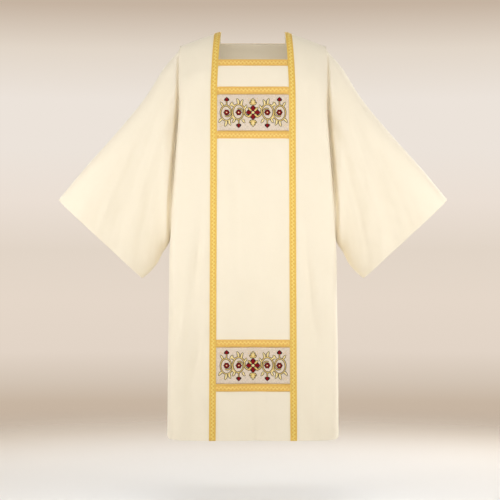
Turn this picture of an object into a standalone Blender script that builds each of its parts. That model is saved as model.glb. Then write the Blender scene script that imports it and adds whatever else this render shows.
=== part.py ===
"""Dalmatic: a deacon's wide-sleeved tunic, filled out as it hangs from the shoulders.

Frame: +Z up, the garment faces -Y, +X is the wearer's left. The origin lies midway between the two
neck points on the shoulder line, where the wearer's shoulders carry the garment. Metres throughout.

A panel is a sheet of points S(drop, across): `drop` is how far down from the shoulder line a row of
the cloth lies, and `across` counts from the centre line to the side edge in stretches of one unit:
neck width, galloon, chest, rolled edge, side piece. Whatever is sewn on a panel takes its points.
"""
import math
from collections import namedtuple

import bmesh
import bpy
import numpy as np

# ---------------------------------------------------------------- driving dimensions
LENGTH = 1.300            # neck point to hem
CLOTH = 0.002             # wall of the tunic cloth
GALLOON = 0.0012          # wall of the galloon and of the embroidered panels
GAP = 0.0003              # clearance at a seam and under whatever lies on a panel

SHOULDER_DROP = 0.046     # fall of the shoulder line from neck point to armhole
SHOULDER_CAP = 0.160      # height over which the cloth rounds from the shoulder line to the chest
NECK_FRONT = 0.1000       # depth of the square neckline in front
NECK_SOFTNESS = 0.012     # how softly the shoulder line turns down beside the neck
UNDERARM = 0.6215         # drop of the lowest point of the armhole
SCOOP = 0.0934            # height of the rounded foot of the armhole
SLIT_TOP = 0.861          # drop at which the side seam ends and the slit begins
SIDE_PIECE = 0.006        # cloth between the rolled edge and the armhole seam
KNEE = 0.80               # share of the half width at which the rolled edge starts
SQUARENESS = 1.5          # of the roll: 2 is an ellipse, less turns more tightly at its end

GALLOON_WIDTH = 0.021     # long bands and neck bands
FRAME_WIDTH = 0.0246      # bands above and below an embroidered panel
ORPHREY_HEIGHT = 0.1138   # embroidered panel between its two bands
CHEST_ORPHREY = 0.2113    # drop of the top edge of the chest panel
SKIRT_ORPHREY = 1.0065    # drop of the top edge of the skirt panel

SLEEVE_JOIN = 0.13        # share of the sleeve's length over which it turns out of the armhole
FOLD_PULL = 0.070         # how far the sleeve runs on into the armhole before it turns outward
UNDERARM_PULL = 0.40      # the same at the underarm, as a share of FOLD_PULL
SLEEVE_FLATNESS = 2.6     # 2 is an ellipse, more is flatter with tighter folds at both edges

FRONT, BACK = 1, -1       # the two panels, and the two faces of a sleeve
LEFT, RIGHT = 1, -1       # the wearer's
STEP = 1e-4               # step by which the slope of the cloth is measured

# ---------------------------------------------------------------- rows of the cloth
CAP_ANGLES = (0.0, 15.0, 25.0, 35.0, 44.0, 55.0)     # turn of the cloth as it leaves the shoulder
NECK_BACK_ANGLE = 35.0                               # where the back neckline is cut
NECK_BAND_ANGLE = 44.0                               # where the back neck band ends
SCOOP_ANGLES = (0.0, 25.0, 48.0, 70.0, 90.0)         # round the foot of the armhole
PLAIN_DROPS = (0.150, 0.250, 0.288, 0.400, 0.460, 0.680, 0.740, 0.800, 0.920, 1.064, 1.195, 1.245)

# ---------------------------------------------------------------- tables
# One row for each height at which the cut or the hang of the body changes.
# half_width: centre to side edge; front, back: how far each panel stands out from the shoulder line;
# roll: share of that depth in which the side edge turns back; power: squareness of the section;
# reach: how far past the side edge the section would still run, where panel and sleeve lie flush;
# slit: how far each free edge stands off the side line.
BODY_COLUMNS = ("drop", "half_width", "front", "back", "roll", "power", "reach", "slit")
BODY = (
    (0.000, 0.2353, 0.118, 0.100, 1.00, 4.0, 0.20, 0.000),
    (0.090, 0.2350, 0.120, 0.106, 0.98, 4.2, 0.17, 0.000),
    (0.180, 0.2340, 0.124, 0.110, 0.62, 7.0, 0.03, 0.000),
    (0.260, 0.2375, 0.125, 0.112, 0.40, 10.0, 0.00, 0.000),
    (0.330, 0.2425, 0.125, 0.112, 0.36, 12.0, 0.00, 0.000),
    (0.500, 0.2540, 0.125, 0.109, 0.36, 12.0, 0.00, 0.000),
    (0.6215, 0.2620, 0.124, 0.107, 0.44, 12.0, 0.00, 0.000),
    (0.700, 0.2660, 0.124, 0.107, 0.52, 12.0, 0.00, 0.000),
    (0.861, 0.2680, 0.125, 0.108, 0.60, 12.0, 0.00, 0.000),
    (1.050, 0.2715, 0.127, 0.112, 0.66, 11.0, 0.00, 0.008),
    (1.300, 0.2735, 0.130, 0.118, 0.72, 10.0, 0.00, 0.018),
)

# Centre line of each long band, measured out from the centre of the garment.
CLAVUS_COLUMNS = ("drop", "out")
CLAVUS = (
    (0.000, 0.1172),
    (0.095, 0.1190),
    (0.200, 0.1233),
    (0.600, 0.1247),
    (1.300, 0.1278),
)

# Soft folds that hang from the chest and the shoulder blades; a negative depth is a trough.
# x_top and x_hem: where the fold starts and ends; start: drop at its top.
Fold = namedtuple("Fold", ("side", "x_top", "x_hem", "start", "width", "depth"))
FOLDS = [Fold(*row) for row in (
    (FRONT, 0.004, 0.002, 0.55, 0.034, -0.0055),
    (FRONT, -0.072, -0.078, 0.35, 0.030, 0.0030),
    (FRONT, 0.078, 0.084, 0.42, 0.030, 0.0030),
    (FRONT, -0.168, -0.186, 0.62, 0.022, -0.0060),
    (FRONT, 0.172, 0.182, 0.55, 0.024, -0.0060),
    (FRONT, -0.205, -0.228, 0.40, 0.016, 0.0030),
    (BACK, 0.012, -0.006, 0.22, 0.040, -0.0080),
    (BACK, -0.088, -0.096, 0.30, 0.030, 0.0060),
    (BACK, 0.094, 0.086, 0.26, 0.028, 0.0060),
    (BACK, -0.160, -0.182, 0.45, 0.024, -0.0075),
    (BACK, 0.158, 0.176, 0.38, 0.024, -0.0070),
)]

# One row for each section of the left sleeve from the end of its turn at the armhole to the cuff.
# part: share of the sleeve's length; top and foot: the upper and lower fold of the tube;
# thick: greatest half thickness; taper: how much thinner it is at the foot than at the top.
SLEEVE_COLUMNS = ("part", "top_x", "top_z", "foot_x", "foot_z", "thick", "taper")
SLEEVE = (
    (0.00, 0.2353, -0.0464, 0.2620, -0.6457, 0.094, 0.10),
    (0.13, 0.2890, -0.1185, 0.2745, -0.6845, 0.086, 0.30),
    (0.30, 0.3430, -0.2050, 0.2890, -0.7060, 0.076, 0.45),
    (0.55, 0.4375, -0.3210, 0.3120, -0.7425, 0.067, 0.55),
    (0.80, 0.5409, -0.4370, 0.3350, -0.7745, 0.060, 0.58),
    (1.00, 0.6255, -0.5385, 0.3560, -0.7916, 0.056, 0.58),
)

# Soft folds that spread from the shoulder down each sleeve; a negative depth is a trough.
# at_armhole, at_cuff: where the fold lies across a half sleeve, 0 at its top seam and 1 at its lower one.
SleeveFold = namedtuple("SleeveFold", ("face", "at_armhole", "at_cuff", "width", "depth"))
SLEEVE_FOLDS = [SleeveFold(*row) for row in (
    (FRONT, 0.00, 0.30, 0.080, 0.0035),
    (FRONT, 0.08, 0.62, 0.090, -0.0050),
    (FRONT, 0.26, 0.88, 0.075, 0.0045),
    (BACK, 0.05, 0.34, 0.080, -0.0050),
    (BACK, 0.22, 0.60, 0.080, 0.0055),
    (BACK, 0.45, 0.82, 0.060, -0.0045),
)]


def column(columns, rows, name):
    """One named column of a table, as an array."""
    return np.array([row[columns.index(name)] for row in rows], dtype=float)


def smooth_table(columns, rows):
    """A reader of a table: read(name, at) runs a smooth curve, without overshoot, through its rows."""
    at_rows = column(columns, rows, columns[0])
    spans = np.diff(at_rows)
    curves = {}
    for name in columns[1:]:
        values = column(columns, rows, name)
        slopes = np.diff(values) / spans
        bends = np.zeros(len(values))
        for i in range(1, len(values) - 1):
            if slopes[i - 1] * slopes[i] > 0.0:
                bends[i] = 2.0 / (1.0 / slopes[i - 1] + 1.0 / slopes[i])
        bends[0], bends[-1] = slopes[0], slopes[-1]
        curves[name] = (values, bends)

    def read(name, at):
        values, bends = curves[name]
        at = min(max(at, at_rows[0]), at_rows[-1])
        i = min(int(np.searchsorted(at_rows, at, side="right")) - 1, len(spans) - 1)
        s = (at - at_rows[i]) / spans[i]
        start = (1 + 2 * s) * (1 - s) ** 2 * values[i] + s * (1 - s) ** 2 * spans[i] * bends[i]
        end = s * s * (3 - 2 * s) * values[i + 1] + s * s * (s - 1) * spans[i] * bends[i + 1]
        return start + end

    return read


body = smooth_table(BODY_COLUMNS, BODY)
clavus = smooth_table(CLAVUS_COLUMNS, CLAVUS)
sleeve = smooth_table(SLEEVE_COLUMNS, SLEEVE)

# ---------------------------------------------------------------- rows and columns of a panel
def cap_drop(angle):
    """Drop of the point where the cloth has turned by an angle from the shoulder line."""
    return SHOULDER_CAP * (1.0 - math.cos(math.radians(angle)))


def panel_drops():
    """The rows of both panels: every height at which a seam, a band or the slit begins or ends."""
    rows = [cap_drop(angle) for angle in CAP_ANGLES]
    rows += [NECK_FRONT, NECK_FRONT + GALLOON_WIDTH, SLIT_TOP, LENGTH]
    rows += [UNDERARM - SCOOP + SCOOP * math.sin(math.radians(angle)) for angle in SCOOP_ANGLES]
    for top in (CHEST_ORPHREY, SKIRT_ORPHREY):
        bottom = top + ORPHREY_HEIGHT
        rows += [top - FRAME_WIDTH, top, bottom, bottom + FRAME_WIDTH]
    return sorted(rows + list(PLAIN_DROPS))


HALF_ACROSS = (0.25, 0.5, 0.75, 1.0, 2.0, 2.5, 3.0, 3.2, 3.4, 3.6, 3.8, 4.0, 5.0)
ACROSS = tuple(-c for c in reversed(HALF_ACROSS)) + (0.0,) + HALF_ACROSS
NECK, BAND, CHEST, ROLL, EDGE = 1.0, 2.0, 3.0, 4.0, 5.0      # where each stretch ends
DROPS = panel_drops()


def row_at(drop):
    """Index of the row that lies at a drop."""
    return min(range(len(DROPS)), key=lambda i: abs(DROPS[i] - drop))


# ---------------------------------------------------------------- shape of the body
def band_edges(drop):
    """Inner and outer edge of the long band."""
    middle = clavus("out", drop)
    return middle - GALLOON_WIDTH / 2, middle + GALLOON_WIDTH / 2


def shoulder_line(x):
    """Height of the shoulder line at a distance out from the centre."""
    neck_point = band_edges(0.0)[0]

    def fall(out):
        return math.hypot(max(out, 0.0), NECK_SOFTNESS) - NECK_SOFTNESS

    return -SHOULDER_DROP * fall(abs(x) - neck_point) / fall(body("half_width", 0.0) - neck_point)


def fold_height(side, x, drop):
    """How far the hanging folds lift the cloth at a point of a panel."""
    height = 0.0
    for fold in FOLDS:
        if fold.side == side and drop > fold.start:
            run = (drop - fold.start) / (LENGTH - fold.start)
            middle = fold.x_top + (fold.x_hem - fold.x_top) * run
            height += fold.depth * run * (2 - run) * math.exp(-((x - middle) / fold.width) ** 2)
    return height


class Section:
    """A level cut through one panel: a flat front, an edge that rolls back, and a side piece."""

    def __init__(self, side, drop):
        self.side, self.drop = side, drop
        self.inner, self.outer = band_edges(drop)
        half_width = body("half_width", drop)
        cap_share = 1.0 - min(drop / SHOULDER_CAP, 1.0)
        self.depth = body("front" if side == FRONT else "back", drop)
        self.depth *= math.sqrt(1.0 - cap_share ** 2)
        self.roll = self.depth * body("roll", drop)
        self.power = body("power", drop)

        # the roll stops short of a full turn where it would reach past the side edge
        reach = 1.0 + body("reach", drop)
        self.end = math.asin(reach ** (-self.power / 2))
        sine, cosine = math.sin(self.end), max(math.cos(self.end), 0.0)
        turn_x = half_width * reach * (2 / self.power) * sine ** (2 / self.power - 1) * cosine
        turn_out = self.roll * (2 / SQUARENESS) * cosine ** (2 / SQUARENESS - 1) * sine
        if reach == 1.0:
            turn_x, turn_out = 0.0, 1.0
        length = math.hypot(turn_x, turn_out)
        self.turn_x, self.turn_out = turn_x / length, turn_out / length

        # the side piece runs on from the roll to the seam
        self.roll_end = self.depth - self.roll + self.roll * cosine ** (2 / SQUARENESS)
        seam = self.seam()
        if seam is None:
            self.side_length = SIDE_PIECE
            half_width -= SIDE_PIECE * self.turn_x
        else:
            self.side_length = max(self.roll_end - seam, SIDE_PIECE / 4)
        self.reach = half_width * reach
        self.knee = min(KNEE * half_width, half_width)

    def seam(self):
        """How far the edge stands off the side line below the straight part of the armhole."""
        share = (self.drop - UNDERARM + SCOOP) / SCOOP
        if share <= 0.0:
            return None
        if share < 1.0:
            return max(GAP / 2, (self.roll_end - SIDE_PIECE) * math.sqrt(1.0 - share ** 2))
        return GAP / 2 + body("slit", self.drop)

    def out_at(self, x):
        """How far the flat and the roll stand out at a distance from the centre."""
        rest = max(1.0 - (x / self.reach) ** self.power, 0.0)
        return self.depth - self.roll + self.roll * rest ** (1 / SQUARENESS)

    def point(self, across):
        """Outer point of the cloth at a place across."""
        place = abs(across)
        if place <= NECK:
            x = self.inner * place
        elif place <= BAND:
            x = self.inner + (self.outer - self.inner) * (place - NECK)
        elif place <= CHEST:
            x = self.outer + (self.knee - self.outer) * (place - BAND)
        if place <= CHEST:
            out = self.out_at(x)
        else:
            start = math.asin((self.knee / self.reach) ** (self.power / 2))
            angle = start + (self.end - start) * min(place - CHEST, 1.0)
            onward = max(place - ROLL, 0.0) * self.side_length
            x = self.reach * math.sin(angle) ** (2 / self.power) + onward * self.turn_x
            out = self.depth - self.roll - onward * self.turn_out
            out += self.roll * max(math.cos(angle), 0.0) ** (2 / SQUARENESS)
        x = math.copysign(x, across)
        out += min(max(ROLL - place, 0.0), 1.0) * fold_height(self.side, x, self.drop)
        if self.drop == 0.0:
            out = GAP / 2
        z = shoulder_line(x) * (1.0 - self.drop / LENGTH) - self.drop
        return np.array((x, -self.side * out, z))


def unit(vectors):
    """Vectors brought to length 1."""
    return vectors / np.linalg.norm(vectors, axis=-1, keepdims=True)


def panel_normal(side, drop, across):
    """Direction straight out of the cloth at a point of a panel."""
    near_drop = min(max(drop, 2 * STEP), LENGTH - STEP)
    left, right = max(across - STEP, -EDGE), min(across + STEP, EDGE)
    above = Section(side, near_drop - STEP).point(across)
    below = Section(side, near_drop + STEP).point(across)
    level = Section(side, near_drop)
    normal = unit(np.cross(below - above, level.point(right) - level.point(left))) * side
    if drop == 0.0:                                   # the shoulder seam is cut square across
        normal[1] = 0.0
    elif drop >= UNDERARM and abs(across) == EDGE:    # and so is the side seam
        normal = np.array((math.copysign(1.0, across), 0.0, 0.0))
    return unit(normal)


def panel_grid(side):
    """Points and normals of a whole panel, a row for each drop and a column for each place across."""
    points = [[section.point(across) for across in ACROSS]
              for section in (Section(side, drop) for drop in DROPS)]
    normals = [[panel_normal(side, drop, across) for across in ACROSS] for drop in DROPS]
    return np.array(points), np.array(normals)


PANELS = {side: panel_grid(side) for side in (FRONT, BACK)}


# ---------------------------------------------------------------- walls
COLLECTION = "dalmatic"
SHARP_ANGLE = math.radians(40)


def finish_object(name, bm, colour, roughness):
    """Put a mesh in the garment's collection with its own material."""
    bmesh.ops.recalc_face_normals(bm, faces=bm.faces)
    mesh = bpy.data.meshes.new(name)
    bm.to_mesh(mesh)
    bm.free()
    material = bpy.data.materials.new(name)
    material.use_nodes = True
    shader = material.node_tree.nodes["Principled BSDF"]
    shader.inputs["Base Color"].default_value = (*colour, 1.0)
    shader.inputs["Roughness"].default_value = roughness
    shader.inputs["Metallic"].default_value = 0.0
    mesh.materials.append(material)
    mesh.shade_smooth()
    mesh.set_sharp_from_angle(angle=SHARP_ANGLE)
    piece = bpy.data.objects.new(name, mesh)
    bpy.data.collections[COLLECTION].objects.link(piece)
    return piece


def cloth_wall(points, normals, low, high, keep=None):
    """A closed wall over a sheet of points, from `low` to `high` above them along the normals.

    keep(row, column) says which quads are cloth.
    """
    rows, columns = points.shape[:2]
    quads = [(i, j) for i in range(rows - 1) for j in range(columns - 1)
             if keep is None or keep(i, j)]
    bm = bmesh.new()
    corners = {}

    def corner(i, j, layer):
        key = (i, j, layer)
        if key not in corners:
            height = high if layer else low
            corners[key] = bm.verts.new(points[i, j] + normals[i, j] * height)
        return corners[key]

    borders = {}
    for i, j in quads:
        loop = ((i, j), (i + 1, j), (i + 1, j + 1), (i, j + 1))
        for layer in (0, 1):
            a, b, c, d = (corner(*place, layer) for place in loop)
            bm.faces.new((a, b, c) if layer else (a, c, b))
            bm.faces.new((a, c, d) if layer else (a, d, c))
        for start, stop in zip(loop, loop[1:] + loop[:1]):
            if (stop, start) in borders:
                del borders[(stop, start)]
            else:
                borders[(start, stop)] = True
    for start, stop in borders:
        bm.faces.new((corner(*start, 1), corner(*start, 0), corner(*stop, 0)))
        bm.faces.new((corner(*start, 1), corner(*stop, 0), corner(*stop, 1)))
    return bm


# ---------------------------------------------------------------- pieces
CREAM = (0.87, 0.80, 0.62)
GOLD = (0.82, 0.56, 0.14)
TAUPE = (0.66, 0.58, 0.48)


def make_panel(name, side, neck_drop):
    """Front or back of the tunic: one sheet with the neckline cut out of its top."""
    points, normals = PANELS[side]
    neck_row = row_at(neck_drop)
    neck_columns = range(ACROSS.index(-NECK), ACROSS.index(NECK))

    def is_cloth(i, j):
        return i >= neck_row or j not in neck_columns

    bm = cloth_wall(points, normals, -CLOTH, 0.0, keep=is_cloth)
    finish_object(name, bm, CREAM, 0.75)


def make_trim(name, side, drops, across, colour, insets):
    """A band or an embroidered panel, laid on the points of a panel and moved out from it.

    insets: how far it stays inside its first row, last row, first column and last column.
    """
    rows = slice(row_at(drops[0]), row_at(drops[1]) + 1)
    columns = slice(ACROSS.index(across[0]), ACROSS.index(across[1]) + 1)
    points, normals = (grid[rows, columns].copy() for grid in PANELS[side])

    def draw_in(edge, inner, inset):
        edge += unit(inner - edge) * inset

    draw_in(points[0], points[1], insets[0])
    draw_in(points[-1], points[-2], insets[1])
    draw_in(points[:, 0], points[:, 1], insets[2])
    draw_in(points[:, -1], points[:, -2], insets[3])
    bm = cloth_wall(points, normals, GAP, GAP + GALLOON)
    finish_object(name, bm, colour, 0.5)


def make_long_bands():
    """The four long bands, from the shoulder seam to the hem."""
    whole = (0.0, 0.0, 0.0, 0.0)
    for side, face in ((FRONT, "front"), (BACK, "back")):
        make_trim(f"clavus_{face}_left", side, (0.0, LENGTH), (NECK, BAND), GOLD, whole)
        make_trim(f"clavus_{face}_right", side, (0.0, LENGTH), (-BAND, -NECK), GOLD, whole)


def make_cross_pieces():
    """What lies between the long bands: the neck bands, and two embroidered panels in their frames."""
    inside = (-NECK, NECK)
    beside = (0.0, 0.0, GAP, GAP)
    neck_front = (NECK_FRONT, NECK_FRONT + GALLOON_WIDTH)
    neck_back = (cap_drop(NECK_BACK_ANGLE), cap_drop(NECK_BAND_ANGLE))
    make_trim("neck_band_front", FRONT, neck_front, inside, GOLD, beside)
    make_trim("neck_band_back", BACK, neck_back, inside, GOLD, beside)
    for place, top in (("chest", CHEST_ORPHREY), ("skirt", SKIRT_ORPHREY)):
        bottom = top + ORPHREY_HEIGHT
        upper, lower = (top - FRAME_WIDTH, top), (bottom, bottom + FRAME_WIDTH)
        make_trim(f"band_{place}_upper", FRONT, upper, inside, GOLD, beside)
        make_trim(f"orphrey_{place}", FRONT, (top, bottom), inside, TAUPE, (GAP, GAP, GAP, GAP))
        make_trim(f"band_{place}_lower", FRONT, lower, inside, GOLD, beside)


def armhole_ring(hand):
    """Start of a sleeve: seam points, normals and the way the cloth runs on, all round the armhole.

    The ring runs from the shoulder down the front to the underarm and up the back.
    """
    last = row_at(UNDERARM)
    edge = ACROSS.index(hand * EDGE)
    points, normals = (np.concatenate((PANELS[FRONT][k][:last + 1, edge],
                                       PANELS[BACK][k][last - 1:0:-1, edge])) for k in (0, 1))
    points[[0, last], 1] = 0.0
    tangents = np.roll(points, -1, axis=0) - np.roll(points, 1, axis=0)
    onward = unit(np.cross(tangents, normals)) * hand
    return points, normals, onward


def oval(part, shares, hand):
    """One section of a sleeve: a flat tube, folded at its top seam and at its lower seam.

    shares: places round the front half, from 0 at the top seam to 1 at the lower seam.
    """
    top = np.array((hand * sleeve("top_x", part), 0.0, sleeve("top_z", part)))
    foot = np.array((hand * sleeve("foot_x", part), 0.0, sleeve("foot_z", part)))
    taper = sleeve("taper", part)
    along = (1.0 - np.cos(np.linspace(0.0, math.pi, 241))) / 2
    bulge = np.maximum(1.0 - np.abs(2 * along - 1.0) ** SLEEVE_FLATNESS, 0.0) ** 0.5
    bulge *= sleeve("thick", part) * (1.0 + taper / 4 - taper * along)
    steps = np.hypot(np.diff(along) * np.linalg.norm(foot - top), np.diff(bulge))
    run = np.concatenate(((0.0,), np.cumsum(steps))) / steps.sum()
    ring = []
    for face, places in ((FRONT, shares), (BACK, shares[-2:0:-1])):
        for share in places:
            out = np.interp(share, run, bulge)
            for fold in SLEEVE_FOLDS:
                if fold.face == face:
                    middle = fold.at_armhole + (fold.at_cuff - fold.at_armhole) * part
                    height = fold.depth * math.sin(math.pi * share)
                    out += height * math.exp(-((share - middle) / fold.width) ** 2)
            point = top + (foot - top) * np.interp(share, run, along)
            point[1] = -face * out
            ring.append(point)
    return np.array(ring)


JOIN_STEPS = (0.0, 0.2, 0.42, 0.7)                            # shares of the turn
SLEEVE_STEPS = (SLEEVE_JOIN, 0.26, 0.40, 0.55, 0.70, 0.85, 1.0)   # shares of the sleeve


def make_sleeve(name, hand):
    """A wide sleeve, a front and a back half joined along the top and the underarm.

    It turns out of the armhole in a soft fold and runs on as a flat tube.
    """
    seam, seam_normals, onward = armhole_ring(hand)
    lengths = np.linalg.norm(np.diff(seam[:row_at(UNDERARM) + 1], axis=0), axis=1)
    shares = np.concatenate(((0.0,), np.cumsum(lengths))) / lengths.sum()
    around = np.concatenate((shares, shares[-2:0:-1]))[:, None]
    start = seam + onward * GAP
    leaving = onward * FOLD_PULL * (1.0 - (1.0 - UNDERARM_PULL) * around ** 2)
    joined = oval(SLEEVE_JOIN, shares, hand)
    arriving = (oval(SLEEVE_JOIN + STEP, shares, hand) - joined) * SLEEVE_JOIN / STEP
    rings = []
    for s in JOIN_STEPS:
        ring = (1 + 2 * s) * (1 - s) ** 2 * start + s * (1 - s) ** 2 * leaving
        rings.append(ring + s * s * (3 - 2 * s) * joined + s * s * (s - 1) * arriving)
    rings += [oval(part, shares, hand) for part in SLEEVE_STEPS]
    points = np.array(rings)
    about = np.roll(points, -1, axis=1) - np.roll(points, 1, axis=1)
    normals = unit(np.cross(about, np.gradient(points, axis=0))) * hand
    normals[0] = seam_normals

    top, foot = 0, row_at(UNDERARM)
    normals[:, (top, foot), 1] = 0.0                  # both seams are cut square across
    normals = unit(normals)
    columns = np.arange(points.shape[1])
    for face, side, half in ((FRONT, "front", columns[top:foot + 1]),
                             (BACK, "back", np.append(columns[foot:], top))):
        sheet = points[:, half].copy()
        sheet[:, (0, -1), 1] -= face * GAP / 2
        bm = cloth_wall(sheet, normals[:, half], -CLOTH, 0.0)
        finish_object(f"{name}_{side}", bm, CREAM, 0.75)


# ---------------------------------------------------------------- build
for old in list(bpy.data.objects):
    bpy.data.objects.remove(old, do_unlink=True)
garment = bpy.data.collections.new(COLLECTION)
bpy.context.scene.collection.children.link(garment)

make_panel("front_panel", FRONT, NECK_FRONT)
make_panel("back_panel", BACK, cap_drop(NECK_BACK_ANGLE))
make_sleeve("sleeve_left", LEFT)
make_sleeve("sleeve_right", RIGHT)
make_long_bands()
make_cross_pieces()
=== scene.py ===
"""Dalmatic, a deacon's wide-sleeved tunic of cream cloth with gold galloon and two embroidered panels.

Metres, +Z up. The garment faces -Y, +X is the wearer's left, and the origin is on the shoulder line.
"""

import math

import bmesh
import bpy
import numpy as np
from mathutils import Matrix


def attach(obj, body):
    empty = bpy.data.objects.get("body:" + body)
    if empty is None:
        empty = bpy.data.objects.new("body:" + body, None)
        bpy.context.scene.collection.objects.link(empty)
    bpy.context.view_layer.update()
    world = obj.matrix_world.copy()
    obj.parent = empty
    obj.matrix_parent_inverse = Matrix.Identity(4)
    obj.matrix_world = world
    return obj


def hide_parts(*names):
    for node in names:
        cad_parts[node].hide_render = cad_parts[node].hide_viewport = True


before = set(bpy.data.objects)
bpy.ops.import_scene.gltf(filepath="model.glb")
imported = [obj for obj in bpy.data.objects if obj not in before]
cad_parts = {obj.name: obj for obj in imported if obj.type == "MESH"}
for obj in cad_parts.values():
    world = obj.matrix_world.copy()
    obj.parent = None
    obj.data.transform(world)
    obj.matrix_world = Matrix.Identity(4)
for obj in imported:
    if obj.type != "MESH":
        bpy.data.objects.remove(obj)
bpy.ops.object.select_all(action="DESELECT")
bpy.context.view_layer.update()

# ---------------------------------------------------------------- camera
# It stands level, five metres before the front of the tunic, at the height of the wearer's hips. The
# long lens takes in the whole garment with hardly any perspective.
CAMERA_PLACE = (-0.0095, -5.125, -0.7004)
CAMERA_LENS = 114.54      # millimetres, on a sensor 36 mm wide
CAMERA_SENSOR = 36.0

bpy.ops.object.camera_add(location=CAMERA_PLACE, rotation=(math.radians(90.0), 0.0, 0.0))
camera = bpy.context.object
camera.data.lens = CAMERA_LENS
camera.data.sensor_width = CAMERA_SENSOR
camera.data.dof.use_dof = False
bpy.context.scene.camera = camera

# ---------------------------------------------------------------- front and back of the tunic
# Two widths of smooth cream cloth, joined at the shoulders and down the sides to the slits. The front
# has a square neckline. Seam allowances and hems are pressed to the inside, where the cloth is double.
LENGTH = 1.300            # neck point to hem
SHOULDER_DROP = 0.046     # fall of the shoulder line from the neck point to the armhole
SHOULDER_CAP = 0.160      # height over which the cloth rounds from the shoulder line to the chest
NECK_SOFTNESS = 0.012     # rounding of the shoulder line beside the neck point
NECK_FRONT = 0.1000       # depth of the square neckline
UNDERARM = 0.6215         # drop of the underarm
SCOOP = 0.0934            # height of the rounded foot of the armhole
SIDE_PIECE = 0.006        # flat of the side between the rolled edge and the armhole
HEM_LIFT = 0.007          # of the hem's corners
HEM_LIFT_RUN = 0.16       # height over which it dies out
HEM_LIFT_POWER = 8        # how closely it keeps to the corners
KNEE = 0.80               # share of the half width at which the rolled edge starts
SQUARENESS = 1.5          # power of the edge's curve from front to back
GAP = 0.0003              # clearance at a seam and under whatever lies on the cloth
GALLOON_WIDTH = 0.021     # of the long bands and of the band along each neckline

CLOTH = 0.0009            # one layer of the cloth
SEAM_ALLOWANCE = 0.012
HEM_ALLOWANCE = 0.025
EDGE_ROUNDING = 0.0011    # radius of a pressed edge

FRONT, BACK = 1, -1
LEFT, RIGHT = 1, -1
NECK, BAND, CHEST, ROLL, EDGE = 1.0, 2.0, 3.0, 4.0, 5.0      # stretches across, from the centre out
STEP = 1e-4               # between two points that show which way the cloth runs

# half_width: centre to side edge; front, back: how far each panel stands out from the shoulder line;
# roll, power, reach: shape of the edge that turns back to the armhole; slit: how far the edges part.
BODY_COLUMNS = ("drop", "half_width", "front", "back", "roll", "power", "reach", "slit")
BODY = (
    (0.000, 0.2353, 0.118, 0.100, 1.00, 4.0, 0.20, 0.000),
    (0.090, 0.2350, 0.120, 0.106, 0.98, 6.0, 0.17, 0.000),
    (0.180, 0.2340, 0.124, 0.110, 0.62, 24.0, 0.03, 0.000),
    (0.260, 0.2375, 0.125, 0.112, 0.40, 44.0, 0.00, 0.000),
    (0.330, 0.2425, 0.125, 0.112, 0.36, 56.0, 0.00, 0.000),
    (0.500, 0.2540, 0.125, 0.109, 0.36, 56.0, 0.00, 0.000),
    (0.6215, 0.2620, 0.124, 0.107, 0.44, 56.0, 0.00, 0.000),
    (0.700, 0.2660, 0.124, 0.107, 0.52, 54.0, 0.00, 0.000),
    (0.861, 0.2680, 0.125, 0.108, 0.60, 48.0, 0.00, 0.000),
    (1.050, 0.2715, 0.127, 0.112, 0.66, 44.0, 0.00, 0.008),
    (1.300, 0.2735, 0.130, 0.118, 0.72, 40.0, 0.00, 0.018),
)

# Centre line of each long band, measured out from the centre of the garment.
CLAVUS_COLUMNS = ("drop", "out")
CLAVUS = (
    (0.000, 0.1124),
    (0.020, 0.1142),
    (0.095, 0.1190),
    (0.200, 0.1233),
    (0.600, 0.1247),
    (1.300, 0.1278),
)

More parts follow.
